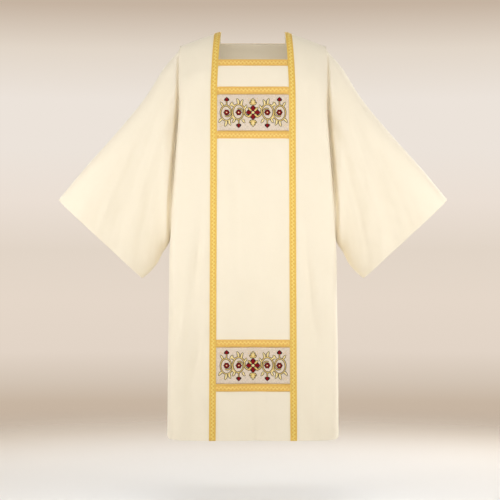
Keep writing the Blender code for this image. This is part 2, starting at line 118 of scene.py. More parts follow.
# Folds and creases. They run from x_top at the drop `top` to x_foot at the drop `foot`, and a negative
# depth is a trough. Those that reach the hem deepen all the way down, and the others die out.
# Columns: side, x_top, x_foot, top, foot, width, depth.
CREASES = (
    (FRONT, 0.004, 0.002, 0.55, LENGTH, 0.034, -0.0055),
    (FRONT, -0.072, -0.078, 0.35, LENGTH, 0.030, 0.0030),
    (FRONT, 0.078, 0.084, 0.42, LENGTH, 0.030, 0.0030),
    (FRONT, -0.168, -0.186, 0.62, LENGTH, 0.024, -0.0046),
    (FRONT, 0.172, 0.182, 0.55, LENGTH, 0.024, -0.0050),
    (FRONT, -0.205, -0.228, 0.40, LENGTH, 0.016, 0.0030),
    (BACK, 0.012, -0.006, 0.22, LENGTH, 0.040, -0.0080),
    (BACK, -0.088, -0.096, 0.30, LENGTH, 0.030, 0.0060),
    (BACK, 0.094, 0.086, 0.26, LENGTH, 0.028, 0.0060),
    (BACK, -0.160, -0.182, 0.45, LENGTH, 0.024, -0.0075),
    (BACK, 0.158, 0.176, 0.38, LENGTH, 0.024, -0.0070),
    (FRONT, -0.148, -0.166, 0.54, 0.94, 0.014, 0.0034),
    (FRONT, 0.148, 0.162, 0.58, 0.98, 0.014, 0.0032),
    (FRONT, -0.155, -0.206, 0.50, 0.96, 0.012, -0.0066),
    (FRONT, -0.158, -0.210, 0.92, 1.18, 0.012, -0.0060),
    (FRONT, -0.150, -0.146, 0.94, 1.14, 0.012, 0.0034),
    (FRONT, 0.158, 0.213, 0.56, 1.12, 0.012, -0.0074),
    (FRONT, -0.222, -0.232, 0.85, 1.04, 0.014, 0.0068),
    (FRONT, 0.240, 0.236, 0.80, 1.00, 0.014, 0.0040),
    (FRONT, 0.006, 0.008, 1.09, 1.50, 0.019, -0.0066),
    (FRONT, -0.190, -0.150, 0.02, 0.14, 0.012, -0.0032),
    (FRONT, -0.160, -0.140, 0.06, 0.20, 0.012, 0.0022),
    (FRONT, 0.192, 0.154, 0.03, 0.16, 0.013, -0.0032),
    (FRONT, 0.205, 0.180, 0.10, 0.24, 0.012, -0.0024),
    (FRONT, -0.056, -0.048, 0.34, 0.84, 0.015, -0.0026),
    (FRONT, 0.054, 0.058, 0.46, 0.92, 0.015, -0.0022),
    (FRONT, -0.200, -0.150, 1.06, 1.24, 0.014, 0.0024),
    (FRONT, 0.150, 0.172, 1.10, 1.38, 0.013, -0.0030),
    (FRONT, 0.196, 0.204, 1.08, 1.40, 0.013, 0.0026),
    (BACK, -0.034, -0.050, 0.40, LENGTH, 0.015, -0.0042),
    (BACK, 0.050, 0.040, 0.52, 1.10, 0.014, -0.0040),
    (BACK, -0.128, -0.132, 0.16, 0.60, 0.018, 0.0024),
    (BACK, 0.120, 0.128, 0.62, LENGTH, 0.013, 0.0034),
    (BACK, -0.206, -0.214, 0.70, LENGTH, 0.013, 0.0038),
    (BACK, 0.198, 0.212, 0.70, 1.16, 0.013, 0.0036),
    (BACK, -0.150, -0.168, 0.56, 1.04, 0.013, -0.0036),
    (BACK, 0.148, 0.136, 0.48, 0.88, 0.013, -0.0030),
    (BACK, -0.190, -0.150, 0.04, 0.20, 0.014, -0.0026),
    (BACK, 0.184, 0.148, 0.05, 0.18, 0.014, -0.0026),
)

RIPPLES = 14              # faint uneven waves all over the cloth
RIPPLE_HEIGHT = 0.00022
RIPPLE_LENGTHS = (0.05, 0.21)
RIPPLE_SEED = 7
BACK_RIPPLES = 1.3        # how much closer together they are on the back
FOLD_START = 12.0         # turn of the cloth, in degrees, by which folds have their full depth


def curve(s, start, leaving, end, arriving):
    """Points at the shares s of a smooth curve from start to end, by the way it runs at each."""
    first = (1 + 2 * s) * (1 - s) ** 2 * start + s * (1 - s) ** 2 * leaving
    return first + s * s * (3 - 2 * s) * end + s * s * (s - 1) * arriving


def smooth_table(columns, rows):
    """A reader of a table: read(name, at) runs a smooth curve, without overshoot, through its rows."""
    table = np.array(rows, dtype=float)
    at_rows = table[:, 0]
    spans = np.diff(at_rows)
    curves = {}
    for k, name in enumerate(columns[1:], start=1):
        values = table[:, k]
        slopes = np.diff(values) / spans
        bends = np.concatenate((slopes[:1], np.zeros(len(rows) - 2), slopes[-1:]))
        for i in range(1, len(rows) - 1):
            if slopes[i - 1] * slopes[i] > 0.0:
                bends[i] = 2.0 / (1.0 / slopes[i - 1] + 1.0 / slopes[i])
        curves[name] = (values, bends)

    def read(name, at):
        values, bends = curves[name]
        at = np.clip(at, at_rows[0], at_rows[-1])
        i = np.clip(np.searchsorted(at_rows, at, side="right") - 1, 0, len(spans) - 1)
        s = (at - at_rows[i]) / spans[i]
        return curve(s, values[i], spans[i] * bends[i], values[i + 1], spans[i] * bends[i + 1])

    return read


body = smooth_table(BODY_COLUMNS, BODY)
clavus = smooth_table(CLAVUS_COLUMNS, CLAVUS)
rng = np.random.default_rng(RIPPLE_SEED)
ripple_waves = [(rng.uniform(-1.0, 1.0), rng.uniform(0.1, 1.0), rng.uniform(*RIPPLE_LENGTHS),
                 rng.uniform(0.0, 2 * math.pi)) for _ in range(RIPPLES)]


def cap_drop(angle):
    """Drop of the point where the cloth has turned by an angle from the shoulder line."""
    return SHOULDER_CAP * (1.0 - np.cos(np.radians(angle)))


def shoulder_line(x):
    """Height of the shoulder line at a distance out from the centre."""
    neck_point = clavus("out", 0.0) - GALLOON_WIDTH / 2

    def fall(out):
        return np.hypot(np.maximum(out, 0.0), NECK_SOFTNESS) - NECK_SOFTNESS

    return -SHOULDER_DROP * fall(np.abs(x) - neck_point) / fall(body("half_width", 0.0) - neck_point)


def ripple(u, v):
    """Height of the faint waves at a place on the cloth."""
    height = np.zeros(np.broadcast(u, v).shape)
    for across, along, length, phase in ripple_waves:
        size = math.hypot(across, along)
        height += np.sin(2 * math.pi * (across * v + along * u) / (size * length) + phase)
    return height * RIPPLE_HEIGHT


def crease_height(side, x, drop):
    """How far folds and creases lift the cloth at a point of a panel."""
    height = ripple(x * (1.0 if side == FRONT else BACK_RIPPLES), drop)
    for row_side, x_top, x_foot, top, foot, width, depth in CREASES:
        if row_side == side:
            run = np.clip((drop - top) / (foot - top), 0.0, 1.0)
            middle = x_top + (x_foot - x_top) * run
            swell = run * (2 - run) if foot == LENGTH else np.sin(math.pi * run) ** 2
            height += depth * swell * np.exp(-((x - middle) / width) ** 2)
    return height


def panel_point(side, drop, across):
    """Outer points of a panel at places on it: two arrays of one shape."""
    drop, across = np.broadcast_arrays(np.asarray(drop, float), np.asarray(across, float))
    place = np.abs(across)
    middle = clavus("out", drop)
    inner, outer = middle - GALLOON_WIDTH / 2, middle + GALLOON_WIDTH / 2
    half_width = body("half_width", drop)
    cap_share = 1.0 - np.minimum(drop / SHOULDER_CAP, 1.0)
    depth = body("front" if side == FRONT else "back", drop) * np.sqrt(1.0 - cap_share ** 2)
    roll = depth * body("roll", drop)
    power = body("power", drop)

    # the roll stops short of a full turn where it would reach past the side edge
    past = body("reach", drop)
    reach = 1.0 + past
    end = np.arcsin(reach ** (-power / 2))
    sine, cosine = np.sin(end), np.maximum(np.cos(end), 0.0)
    turn_x = half_width * reach * (2 / power) * sine ** (2 / power - 1) * cosine
    turn_out = roll * (2 / SQUARENESS) * cosine ** (2 / SQUARENESS - 1) * sine
    turn_x, turn_out = np.where(past > 0.0, turn_x, 0.0), np.where(past > 0.0, turn_out, 1.0)
    length = np.maximum(np.hypot(turn_x, turn_out), 1e-9)
    turn_x, turn_out = turn_x / length, turn_out / length

    # the side piece runs on from the roll to the seam
    roll_end = depth - roll + roll * cosine ** (2 / SQUARENESS)
    share = (drop - UNDERARM + SCOOP) / SCOOP
    scoop_seam = (roll_end - SIDE_PIECE) * np.sqrt(np.clip(1.0 - share ** 2, 0.0, 1.0))
    seam = np.where(share < 1.0, np.maximum(GAP / 2, scoop_seam), GAP / 2 + body("slit", drop))
    straight = share <= 0.0
    side_length = np.where(straight, SIDE_PIECE, np.maximum(roll_end - seam, SIDE_PIECE / 4))
    half_width = np.where(straight, half_width - SIDE_PIECE * turn_x, half_width)
    wide = half_width * reach
    knee = KNEE * half_width

    # the flat of the panel, then the roll and the side piece
    flat_x = np.select((place <= NECK, place <= BAND),
                       (inner * place, inner + (outer - inner) * (place - NECK)),
                       outer + (knee - outer) * (place - BAND))
    flat_rest = np.maximum(1.0 - (np.minimum(flat_x, wide) / wide) ** power, 0.0)
    flat_out = depth - roll + roll * flat_rest ** (1 / SQUARENESS)
    start = np.arcsin((knee / wide) ** (power / 2))
    angle = start + (end - start) * np.clip(place - CHEST, 0.0, 1.0)
    onward = np.maximum(place - ROLL, 0.0) * side_length
    roll_x = wide * np.sin(angle) ** (2 / power) + onward * turn_x
    roll_out = depth - roll - onward * turn_out
    roll_out = roll_out + roll * np.maximum(np.cos(angle), 0.0) ** (2 / SQUARENESS)
    x = np.copysign(np.where(place <= CHEST, flat_x, roll_x), across)
    out = np.where(place <= CHEST, flat_out, roll_out)

    # folds start a little below the shoulder seam and die out round the edge
    folded = np.clip(ROLL - place, 0.0, 1.0) * np.minimum(drop / cap_drop(FOLD_START), 1.0)
    out = out + folded * crease_height(side, x, drop)
    out = np.where(drop == 0.0, GAP / 2, out)
    to_hem = np.clip(1.0 - (LENGTH - drop) / HEM_LIFT_RUN, 0.0, 1.0) ** 2
    to_corner = np.minimum(np.abs(x) / half_width, 1.0) ** HEM_LIFT_POWER
    height = shoulder_line(x) * (1.0 - drop / LENGTH) - drop + HEM_LIFT * to_hem * to_corner
    return np.stack((x, -side * out, height), axis=-1)


def unit(vectors):
    """Vectors brought to length 1."""
    return vectors / np.linalg.norm(vectors, axis=-1, keepdims=True)


def panel_sheet(side, drop, across):
    """Points of a panel and the directions straight out of the cloth there."""
    drop, across = np.broadcast_arrays(np.asarray(drop, float), np.asarray(across, float))
    near = np.clip(drop, 2 * STEP, LENGTH - STEP)
    down = panel_point(side, near + STEP, across) - panel_point(side, near - STEP, across)
    right = panel_point(side, near, np.minimum(across + STEP, EDGE))
    left = panel_point(side, near, np.maximum(across - STEP, -EDGE))
    normals = unit(np.cross(down, right - left)) * side
    at_seam = (np.abs(across) == EDGE) & (drop >= UNDERARM)
    normals[drop == 0.0, 1] = 0.0
    normals[at_seam] = 0.0
    normals[at_seam, 0] = np.copysign(1.0, across[at_seam])
    return panel_point(side, drop, across), unit(normals)


def distances(points, axis):
    """Lengths along the cloth from the first row or column of a grid, or from the start of a line."""
    steps = np.linalg.norm(np.diff(points, axis=axis), axis=-1)
    return np.concatenate((np.zeros_like(np.take(steps, [0], axis)), np.cumsum(steps, axis)), axis)


def pressed(distance):
    """How far the outside of the cloth rounds off towards a pressed edge."""
    near = np.clip(1.0 - distance / EDGE_ROUNDING, 0.0, 1.0)
    return EDGE_ROUNDING * (1.0 - np.sqrt(1.0 - near ** 2))


def add_mesh(name, corners, faces, flat, material):
    """A new object from corners and faces, with the places on the flat cloth as its UV map."""
    mesh = bpy.data.meshes.new(name)
    mesh.from_pydata([tuple(c) for c in corners], [], faces)
    mesh.shade_smooth()
    uv_map = mesh.uv_layers.new(name="flat")
    loops = np.empty(len(mesh.loops), dtype=np.int32)
    mesh.loops.foreach_get("vertex_index", loops)
    uv_map.data.foreach_set("uv", np.asarray(flat, np.float32)[loops].ravel())
    mesh.materials.append(material)
    piece = bpy.data.objects.new(name, mesh)
    bpy.context.scene.collection.objects.link(piece)
    return piece


def cloth_wall(name, points, normals, outer, inner, flat, material, keep, turn):
    """A closed wall over a grid of points, from height `inner` to height `outer` along the normals.

    keep says which quads of the grid are cloth, and turn is for a grid that is seen from behind.
    """
    rows, columns = points.shape[:2]
    skin = [points + normals * height[..., None] for height in (outer, inner)]
    number = np.arange(rows * columns).reshape(rows, columns)
    quads = np.stack((number[:-1, :-1], number[1:, :-1], number[1:, 1:], number[:-1, 1:]), axis=-1)
    quads = quads[keep]
    if turn:
        quads = quads[:, ::-1]
    below = rows * columns
    borders = {}
    for quad in quads.tolist():
        for a, b in zip(quad, quad[1:] + quad[:1]):
            if (b, a) in borders:
                del borders[(b, a)]
            else:
                borders[(a, b)] = True
    rim = [(b, a, a + below, b + below) for a, b in borders]
    faces = quads.tolist() + (quads[:, ::-1] + below).tolist() + rim
    used = np.unique(np.array([c for face in faces for c in face]))
    place = np.zeros(2 * below, dtype=int)
    place[used] = np.arange(len(used))
    corners = np.concatenate([s.reshape(-1, 3) for s in skin])[used]
    flat = np.tile(flat.reshape(-1, 2), (2, 1))[used]
    return add_mesh(name, corners, [tuple(place[list(face)]) for face in faces], flat, material)


def new_material(name):
    """An empty material with its shader, and the nodes and links to add to it."""
    material = bpy.data.materials.new(name)
    material.use_nodes = True
    tree = material.node_tree
    return material, tree.nodes["Principled BSDF"], tree


def add_node(tree, kind, settings=None, **inputs):
    """A node with its settings and inputs. An input is a number, a colour or another node's output."""
    node = tree.nodes.new(kind)
    for key, value in (settings or {}).items():
        setattr(node, key, value)
    for key, value in inputs.items():
        socket = node.inputs[int(key[1:])] if key[1:].isdigit() else node.inputs[key.replace("_", " ")]
        if isinstance(value, bpy.types.NodeSocket):
            tree.links.new(value, socket)
        else:
            socket.default_value = value
    return node


def math_node(tree, operation, a, b=0.0):
    """The output of one sum."""
    return add_node(tree, "ShaderNodeMath", {"operation": operation}, _0=a, _1=b).outputs[0]


def colour_mix(tree, share, first, second):
    """The output of two colours mixed."""
    node = add_node(tree, "ShaderNodeMix", {"data_type": "RGBA"}, _0=share, _6=first, _7=second)
    return node.outputs[2]


def flat_place(tree):
    """The output of the place on the flat cloth."""
    return add_node(tree, "ShaderNodeUVMap", {"uv_map": "flat"}).outputs[0]


def share_of(tree, value, low, high, curve_type="LINEAR"):
    """The output of a value's share of the way from low to high."""
    node = add_node(tree, "ShaderNodeMapRange", {"interpolation_type": curve_type}, _0=value, _1=low,
                    _2=high, _3=0.0, _4=1.0)
    return node.outputs[0]


def above(tree, value, level, gain):
    """The output of a value's height above a level, times a gain."""
    return math_node(tree, "MULTIPLY", math_node(tree, "SUBTRACT", value, level), gain)


def wave(tree, place, pitch):
    """The output of a sine wave over one coordinate of the cloth."""
    return math_node(tree, "SINE", math_node(tree, "MULTIPLY", place, 2 * math.pi / pitch))


def slub_noise(tree, flat, size, detail):
    """The output of noise drawn out along the threads. size is that of a slub, across and down."""
    stretch = (1 / size[0], 1 / size[1], 1.0)
    mapped = add_node(tree, "ShaderNodeMapping", {"vector_type": "POINT"}, Vector=flat, Scale=stretch)
    noise = add_node(tree, "ShaderNodeTexNoise", Vector=mapped.outputs[0], Scale=1.0, Detail=detail)
    return noise.outputs[0]


def add_bump(tree, shader, height, strength, distance):
    """Fine relief on a shader."""
    bump = add_node(tree, "ShaderNodeBump", Strength=strength, Distance=distance, Height=height)
    tree.links.new(bump.outputs[0], shader.inputs["Normal"])


def make_tunic_cloth():
    """Smooth cream cloth: a fine plain weave with slightly uneven threads and a soft bloom."""
    cream, pale, deep = (0.87, 0.79, 0.635, 1.0), (0.895, 0.82, 0.675, 1.0), (0.83, 0.75, 0.58, 1.0)
    pitch = 0.00055                           # of the threads
    slubs = ((0.0007, 0.022), (0.026, 0.0007))      # down the cloth and across it
    slub_relief = 1.6                         # beside the relief of the weave
    material, shader, tree = new_material("tunic_cloth")
    flat = flat_place(tree)
    parts = add_node(tree, "ShaderNodeSeparateXYZ", _0=flat)
    weave = math_node(tree, "MULTIPLY", *[wave(tree, parts.outputs[k], pitch) for k in (0, 1)])
    slub = math_node(tree, "ADD", *[slub_noise(tree, flat, size, 2.0) for size in slubs])
    cloud = add_node(tree, "ShaderNodeTexNoise", Vector=flat, Scale=7.0, Detail=3.0).outputs[0]
    tone = colour_mix(tree, cloud, pale, cream)
    tone = colour_mix(tree, above(tree, slub, level=0.8, gain=0.45), tone, deep)
    tree.links.new(tone, shader.inputs["Base Color"])
    height = math_node(tree, "ADD", weave, math_node(tree, "MULTIPLY", slub, slub_relief))
    add_bump(tree, shader, height, strength=0.35, distance=0.00012)
    shader.inputs["Roughness"].default_value = 0.72
    shader.inputs["Specular IOR Level"].default_value = 0.28
    shader.inputs["Sheen Weight"].default_value = 0.12
    shader.inputs["Sheen Roughness"].default_value = 0.45
    return material


tunic_cloth = make_tunic_cloth()
NECK_BACK_ANGLE = 35.0    # turn of the cloth at which the back neckline is cut

# Rows and columns: turns of the cloth at the first rows, heights of the last ones over the hem, and the
# places across, which crowd together at the rolled edge.
CAP_TURNS = (0.0, 0.1, 0.2, 0.35, 0.5, 0.7, 1.0, 1.5, 2.2, 3.2, 4.5, 6.0, 8.0, 10.0, 12.5)
CAP_TURN_STEP = 2.5       # between the rows after these, down to the chest, in degrees
HEM_STEPS = (0.0, 0.0003, 0.0007, 0.0012, 0.002, 0.004, 0.008)
ROW_STEP = 0.0072
FLAT_COLUMNS = (16, 4, 12)      # over each stretch from the centre to the knee
ROLL_COLUMNS = 13         # from the knee to the edge
ROLL_CROWDING = 26
TURN_STEPS = (0.33, 0.52, 0.62, 0.72, 0.81, 0.89, 0.95, 1.0)      # round the edge itself
SIDE_STEPS = (0.3, 0.5, 0.7, 0.8, 0.88, 0.94, 0.975, 1.0)


def sewn_cloth(name, points, normals, turn, keep=None, middle=0):
    """A piece of cloth over a grid of points, with seams at its top and sides and a hem at its foot.

    keep says which quads of the grid are cloth, and the column `middle` lies along the straight thread.
    Gives the piece, its width and length, and the area of the cloth that it is cut from.
    """
    if keep is None:
        keep = np.ones((points.shape[0] - 1, points.shape[1] - 1), dtype=bool)
    from_side, from_top = distances(points, 1), distances(points, 0)
    to_side = np.minimum(from_side, from_side[:, -1:] - from_side)
    to_hem = from_top[-1:] - from_top
    outer = -pressed(np.minimum(np.minimum(to_side, from_top), to_hem))
    double = (to_side < SEAM_ALLOWANCE) | (from_top < SEAM_ALLOWANCE) | (to_hem < HEM_ALLOWANCE)
    inner = -CLOTH * np.where(double, 2.0, 1.0)
    flat = np.stack((from_side - from_side[:, middle:middle + 1], from_top), axis=-1)
    piece = cloth_wall(name, points, normals, outer, inner, flat, tunic_cloth, keep, turn)

    # the cloth that it is cut from: what shows, and an allowance along each of its edges
    width = float(from_side[:, -1].max()) + 2 * SEAM_ALLOWANCE
    length = float(from_top[-1].max()) + SEAM_ALLOWANCE + HEM_ALLOWANCE
    cells = np.cross(points[1:, 1:] - points[:-1, :-1], points[:-1, 1:] - points[1:, :-1])
    shown = (np.linalg.norm(cells, axis=-1) / 2 * keep).sum()
    seams = from_top[-1, 0] + from_top[-1, -1] + from_side[0, -1]
    area = float(shown + seams * SEAM_ALLOWANCE + from_side[-1, -1] * HEM_ALLOWANCE)
    return piece, (width, length), area


def panel_grid(neck_drop):
    """Rows and columns of a panel, closer together where an edge is pressed."""
    turns = np.arange(CAP_TURNS[-1] + CAP_TURN_STEP, 90.0, CAP_TURN_STEP)
    cap = cap_drop(np.concatenate((CAP_TURNS, turns)))
    below = np.arange(SHOULDER_CAP, LENGTH - HEM_STEPS[-1] - ROW_STEP / 2, ROW_STEP)
    drops = np.unique(np.concatenate((cap, below, (neck_drop,), LENGTH - np.array(HEM_STEPS))))
    flat = [np.linspace(k, k + 1.0, count)[1:] for k, count in enumerate(FLAT_COLUMNS)]
    roll = np.arcsin(np.linspace(KNEE, 1.0, ROLL_COLUMNS) ** ROLL_CROWDING) / (math.pi / 2)
    half = np.concatenate((*flat, CHEST + roll[1:-1], CHEST + np.array(TURN_STEPS),
                           ROLL + np.array(SIDE_STEPS)))
    half.sort()
    return drops, np.concatenate((-half[::-1], (0.0,), half))


def make_panel(name, node, side, neck_drop):
    """Front or back of the tunic: the piece, the size of its cut and the area of its cut."""
    drops, acrosses = panel_grid(neck_drop)
    points, normals = panel_sheet(side, drops[:, None], acrosses[None, :])
    in_neck = (drops[:-1, None] < neck_drop - STEP) & (np.abs(acrosses[:-1] + acrosses[1:]) / 2 < NECK)
    piece, cut, area = sewn_cloth(name, points, normals, side == BACK, ~in_neck, len(acrosses) // 2)
    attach(piece, "root")
    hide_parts(node)
    return piece, cut, area


front_made = make_panel("front_cloth", "front_panel", FRONT, NECK_FRONT)
back_made = make_panel("back_cloth", "back_panel", BACK, float(cap_drop(NECK_BACK_ANGLE)))

# ---------------------------------------------------------------- sleeves
# Each wide sleeve is a front and a back half, joined along the top, where the seam carries on the
# shoulder seam, and under the arm. It hangs away from the armhole in a soft fold, and the cuff is hemmed.
SLEEVE_JOIN = 0.13        # share of the sleeve's length over which it turns out of the armhole
SLEEVE_FLATNESS = 5.0     # power of the curve of its section

# The hollow beside the armhole, by the share of the seam from its top to the underarm. lap: how far the
# cloth doubles back on the seam before it turns outward; depth and width: of the hollow itself.
HOLLOW_COLUMNS = ("around", "lap", "depth", "width")
HOLLOW = (
    (0.00, 0.070, 0.000, 0.012),
    (0.06, 0.030, 0.002, 0.012),
    (0.11, 0.000, 0.007, 0.013),
    (0.20, 0.000, 0.013, 0.015),
    (0.30, 0.000, 0.018, 0.019),
    (0.45, 0.000, 0.022, 0.025),
    (0.62, 0.000, 0.024, 0.033),
    (0.80, 0.000, 0.015, 0.042),
    (0.90, 0.000, 0.008, 0.042),
    (0.97, 0.020, 0.002, 0.034),
    (1.00, 0.028, 0.000, 0.030),
)

# part: share of the length; top and foot: the two seams; thick: half thickness; taper: thinner below.
SLEEVE_COLUMNS = ("part", "top_x", "top_z", "foot_x", "foot_z", "thick", "taper")
SLEEVE = (
    (0.00, 0.2353, -0.0464, 0.2620, -0.6457, 0.094, 0.10),
    (0.13, 0.2890, -0.1185, 0.2745, -0.6845, 0.086, 0.30),
    (0.30, 0.3430, -0.2050, 0.2890, -0.7060, 0.076, 0.45),
    (0.55, 0.4375, -0.3210, 0.3095, -0.7450, 0.067, 0.55),
    (0.80, 0.5409, -0.4370, 0.3350, -0.7745, 0.060, 0.58),
    (1.00, 0.6255, -0.5385, 0.3560, -0.7916, 0.056, 0.58),
)

BOTH = 0

# Folds that spread from the shoulder: places across a half sleeve, 0 at its top seam and 1 at its foot.
# Columns: hand, face, place at the armhole, place at the cuff, width, depth.
SLEEVE_FOLDS = (
    (BOTH, FRONT, 0.00, 0.30, 0.080, 0.0028),
    (BOTH, FRONT, 0.08, 0.62, 0.090, -0.0036),
    (BOTH, FRONT, 0.26, 0.88, 0.075, 0.0026),
    (BOTH, BACK, 0.05, 0.34, 0.080, -0.0050),
    (BOTH, BACK, 0.22, 0.60, 0.080, 0.0055),
    (BOTH, BACK, 0.45, 0.82, 0.060, -0.0045),
    (LEFT, FRONT, 0.18, 0.76, 0.034, 0.0012),
    (LEFT, FRONT, 0.02, 0.46, 0.030, -0.0012),
    (LEFT, FRONT, 0.40, 0.95, 0.030, -0.0012),
    (RIGHT, FRONT, 0.16, 0.70, 0.030, -0.0012),
    (RIGHT, FRONT, 0.05, 0.50, 0.034, 0.0011),
    (RIGHT, FRONT, 0.36, 0.94, 0.045, -0.0006),
    (LEFT, BACK, 0.12, 0.46, 0.034, -0.0016),
    (LEFT, BACK, 0.32, 0.72, 0.030, 0.0015),
    (RIGHT, BACK, 0.14, 0.50, 0.032, 0.0016),
    (RIGHT, BACK, 0.30, 0.70, 0.034, -0.0015),
)
SLEEVE_RIPPLE = 0.62      # length of a half sleeve from seam to seam, by which its ripples are spaced
OVAL_SAMPLES = 240        # from seam to seam
HOLLOW_GAIN = 27 / 4      # brings run * (1 - run) ** 2 to 1 where it is highest

# Points of the seam round an armhole: by the turn of the cloth in degrees at first, then down the
# straight edge and round the foot.
SEAM_TURNS = (0.0, 0.6, 1.2)
SEAM_TURN_STEP, SEAM_TURN_END = 2.5, 60.0
SEAM_STRAIGHT_POINTS = 46
SEAM_SCOOP_POINTS = 17

sleeve = smooth_table(SLEEVE_COLUMNS, SLEEVE)
hollow = smooth_table(HOLLOW_COLUMNS, HOLLOW)


def oval(part, shares, hand):
    """One section of a sleeve: a flat tube, folded at its top seam and at its lower seam."""
    top = np.array((hand * sleeve("top_x", part), 0.0, sleeve("top_z", part)))
    foot = np.array((hand * sleeve("foot_x", part), 0.0, sleeve("foot_z", part)))
    taper = sleeve("taper", part)
    along = (1.0 - np.cos(np.linspace(0.0, math.pi, OVAL_SAMPLES + 1))) / 2
    bulge = np.maximum(1.0 - np.abs(2 * along - 1.0) ** SLEEVE_FLATNESS, 0.0) ** 0.5
    bulge *= sleeve("thick", part) * (1.0 + taper / 4 - taper * along)
    steps = np.hypot(np.diff(along) * np.linalg.norm(foot - top), np.diff(bulge))
    run = np.concatenate(((0.0,), np.cumsum(steps))) / steps.sum()
    ring = []
    for face, places in ((FRONT, shares), (BACK, shares[-2:0:-1])):
        window = np.sin(math.pi * places)
        out = np.interp(places, run, bulge)
        out += window * ripple(places * SLEEVE_RIPPLE + face, part * SLEEVE_RIPPLE + hand)
        for row_hand, row_face, at_armhole, at_cuff, width, depth in SLEEVE_FOLDS:
            if row_face == face and row_hand in (hand, BOTH):
                middle = at_armhole + (at_cuff - at_armhole) * part
                out += depth * window * np.exp(-((places - middle) / width) ** 2)
        half = top + (foot - top) * np.interp(places, run, along)[:, None]
        half[:, 1] = -face * out
        ring.append(half)
    return np.concatenate(ring)


def armhole_ring(hand):
    """The seam of a sleeve: its points, the cloth's normals and the way it runs on, all round."""
    turns = np.arange(SEAM_TURN_STEP, SEAM_TURN_END, SEAM_TURN_STEP)
    cap = cap_drop(np.concatenate((SEAM_TURNS, turns)))
    straight = np.linspace(cap[-1], UNDERARM - SCOOP, SEAM_STRAIGHT_POINTS)[1:]
    rounds = np.radians(np.linspace(0.0, 90.0, SEAM_SCOOP_POINTS))
    scoop = UNDERARM - SCOOP + SCOOP * np.sin(rounds)[1:]
    drops = np.concatenate((cap, straight, scoop))
    last = len(drops) - 1
    front, back = (panel_sheet(side, drops, np.full(last + 1, hand * EDGE)) for side in (FRONT, BACK))
    points, normals = (np.concatenate((front[k], back[k][last - 1:0:-1])) for k in (0, 1))
    points[[0, last], 1] = 0.0
    tangents = np.roll(points, -1, axis=0) - np.roll(points, 1, axis=0)
    return points, normals, unit(np.cross(tangents, normals)) * hand, last


# Rows from the armhole to where the sleeve has turned out of it, and the last ones before the cuff.
JOIN_STEPS = np.array((0.0, 0.0012, 0.003, 0.006, 0.012, 0.025, 0.05, 0.085, 0.125, 0.17, 0.22, 0.27, 0.33,
                       0.39, 0.45, 0.52, 0.60, 0.68, 0.76, 0.84, 0.92))
CUFF_STEPS = np.array((0.0, 0.0006, 0.0014, 0.0024, 0.004, 0.008))
SLEEVE_ROWS = 58


def make_sleeve(hand, name):
    """Both halves of one sleeve."""
    seam, seam_normals, onward, last = armhole_ring(hand)
    lengths = distances(seam[:last + 1], 0)
    shares = lengths / lengths[-1]
    around = np.concatenate((shares, shares[-2:0:-1]))[:, None]
    start = seam + onward * GAP
    leaving = onward * hollow("lap", around)
    end = oval(SLEEVE_JOIN, shares, hand)
    arriving = (oval(SLEEVE_JOIN + STEP, shares, hand) - end) * SLEEVE_JOIN / STEP
    rings = [curve(s, start, leaving, end, arriving) for s in JOIN_STEPS]
    parts = np.concatenate((np.linspace(SLEEVE_JOIN, 1.0 - CUFF_STEPS[-1], SLEEVE_ROWS),
                            1.0 - CUFF_STEPS[-2::-1]))
    rings += [oval(part, shares, hand) for part in parts]
    points = np.array(rings)
    run = np.linalg.norm((points - start)[..., (0, 2)], axis=-1) / hollow("width", around[:, 0])
    sunk = hollow("depth", around[:, 0]) * HOLLOW_GAIN * run * np.maximum(1.0 - run, 0.0) ** 2
    points[..., 1] -= np.sign(points[..., 1]) * sunk
    about = np.roll(points, -1, axis=1) - np.roll(points, 1, axis=1)
    normals = unit(np.cross(about, np.gradient(points, axis=0))) * hand
    normals[0] = seam_normals
    normals[:, (0, last), 1] = 0.0
    normals = unit(normals)
    columns = np.arange(points.shape[1])
    halves = ((FRONT, "front", columns[:last + 1]), (BACK, "back", np.append(columns[last:], 0)))
    for face, side, half in halves:
        sheet = points[:, half].copy()
        sheet[:, (0, -1), 1] -= face * GAP / 2
        piece, _, area = sewn_cloth(f"sleeve_{name}_{side}_cloth", sheet, normals[:, half], hand == LEFT)
        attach(piece, "root")
        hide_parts(f"sleeve_{name}_{side}")


make_sleeve(LEFT, "left")
make_sleeve(RIGHT, "right")

# ---------------------------------------------------------------- long gold bands
# Woven gold braid, laid on the cloth from the hem over the shoulder to the hem behind, two in front and
# two behind. It has corded edges and a winding stem with a leaf in every bend, and it is sewn down
# along both edges.
BRAID = 0.0009            # thickness of the woven ground
BRAID_CROWN = ((0.72, 0.0), (0.5, 0.0001), (0.0, 0.00018))     # its rise, by the share of the half width
BRAID_SHOULDER = 0.6      # share of its thickness at which the edge starts to round off
BRAID_ROUNDING = 0.0004   # how far in the edge rounds off
BRAID_SAMPLE = 0.004      # step along the straight threads
EDGE_CORD = 0.0010        # half width of the corded edges
EDGE_CORD_HEIGHT = 0.0007
FINE_CORD = 0.00035       # beside each corded edge
FINE_CORD_INSET = 0.0018  # from the middle of the corded edge
STEM_REPEAT = 0.0122
STEM_SWING = 0.0041
STEM_WIDTH = 0.0012       # half width
STEM_HEIGHT = 0.0005
STEM_SAMPLES = 12         # in each repeat
BRAID_LEAF = (0.0028, 0.0016, 0.0006)     # half length, half width and height of a leaf
BRAID_SPOT = (0.0026, 0.0018, 0.00030)    # and of the shaded spot on the open side of each bend
LEAF_PLACE, SPOT_PLACE = 0.30, -0.78      # their places across, as shares of the swing of the stem
LEAF_SLANT = 24.0         # degrees
STITCH = (0.00125, 0.00032, 0.00028)      # half length, half width and height of a stitch
STITCH_PITCH = 0.0034
STITCH_INSET = 0.0026     # from the edge of the braid
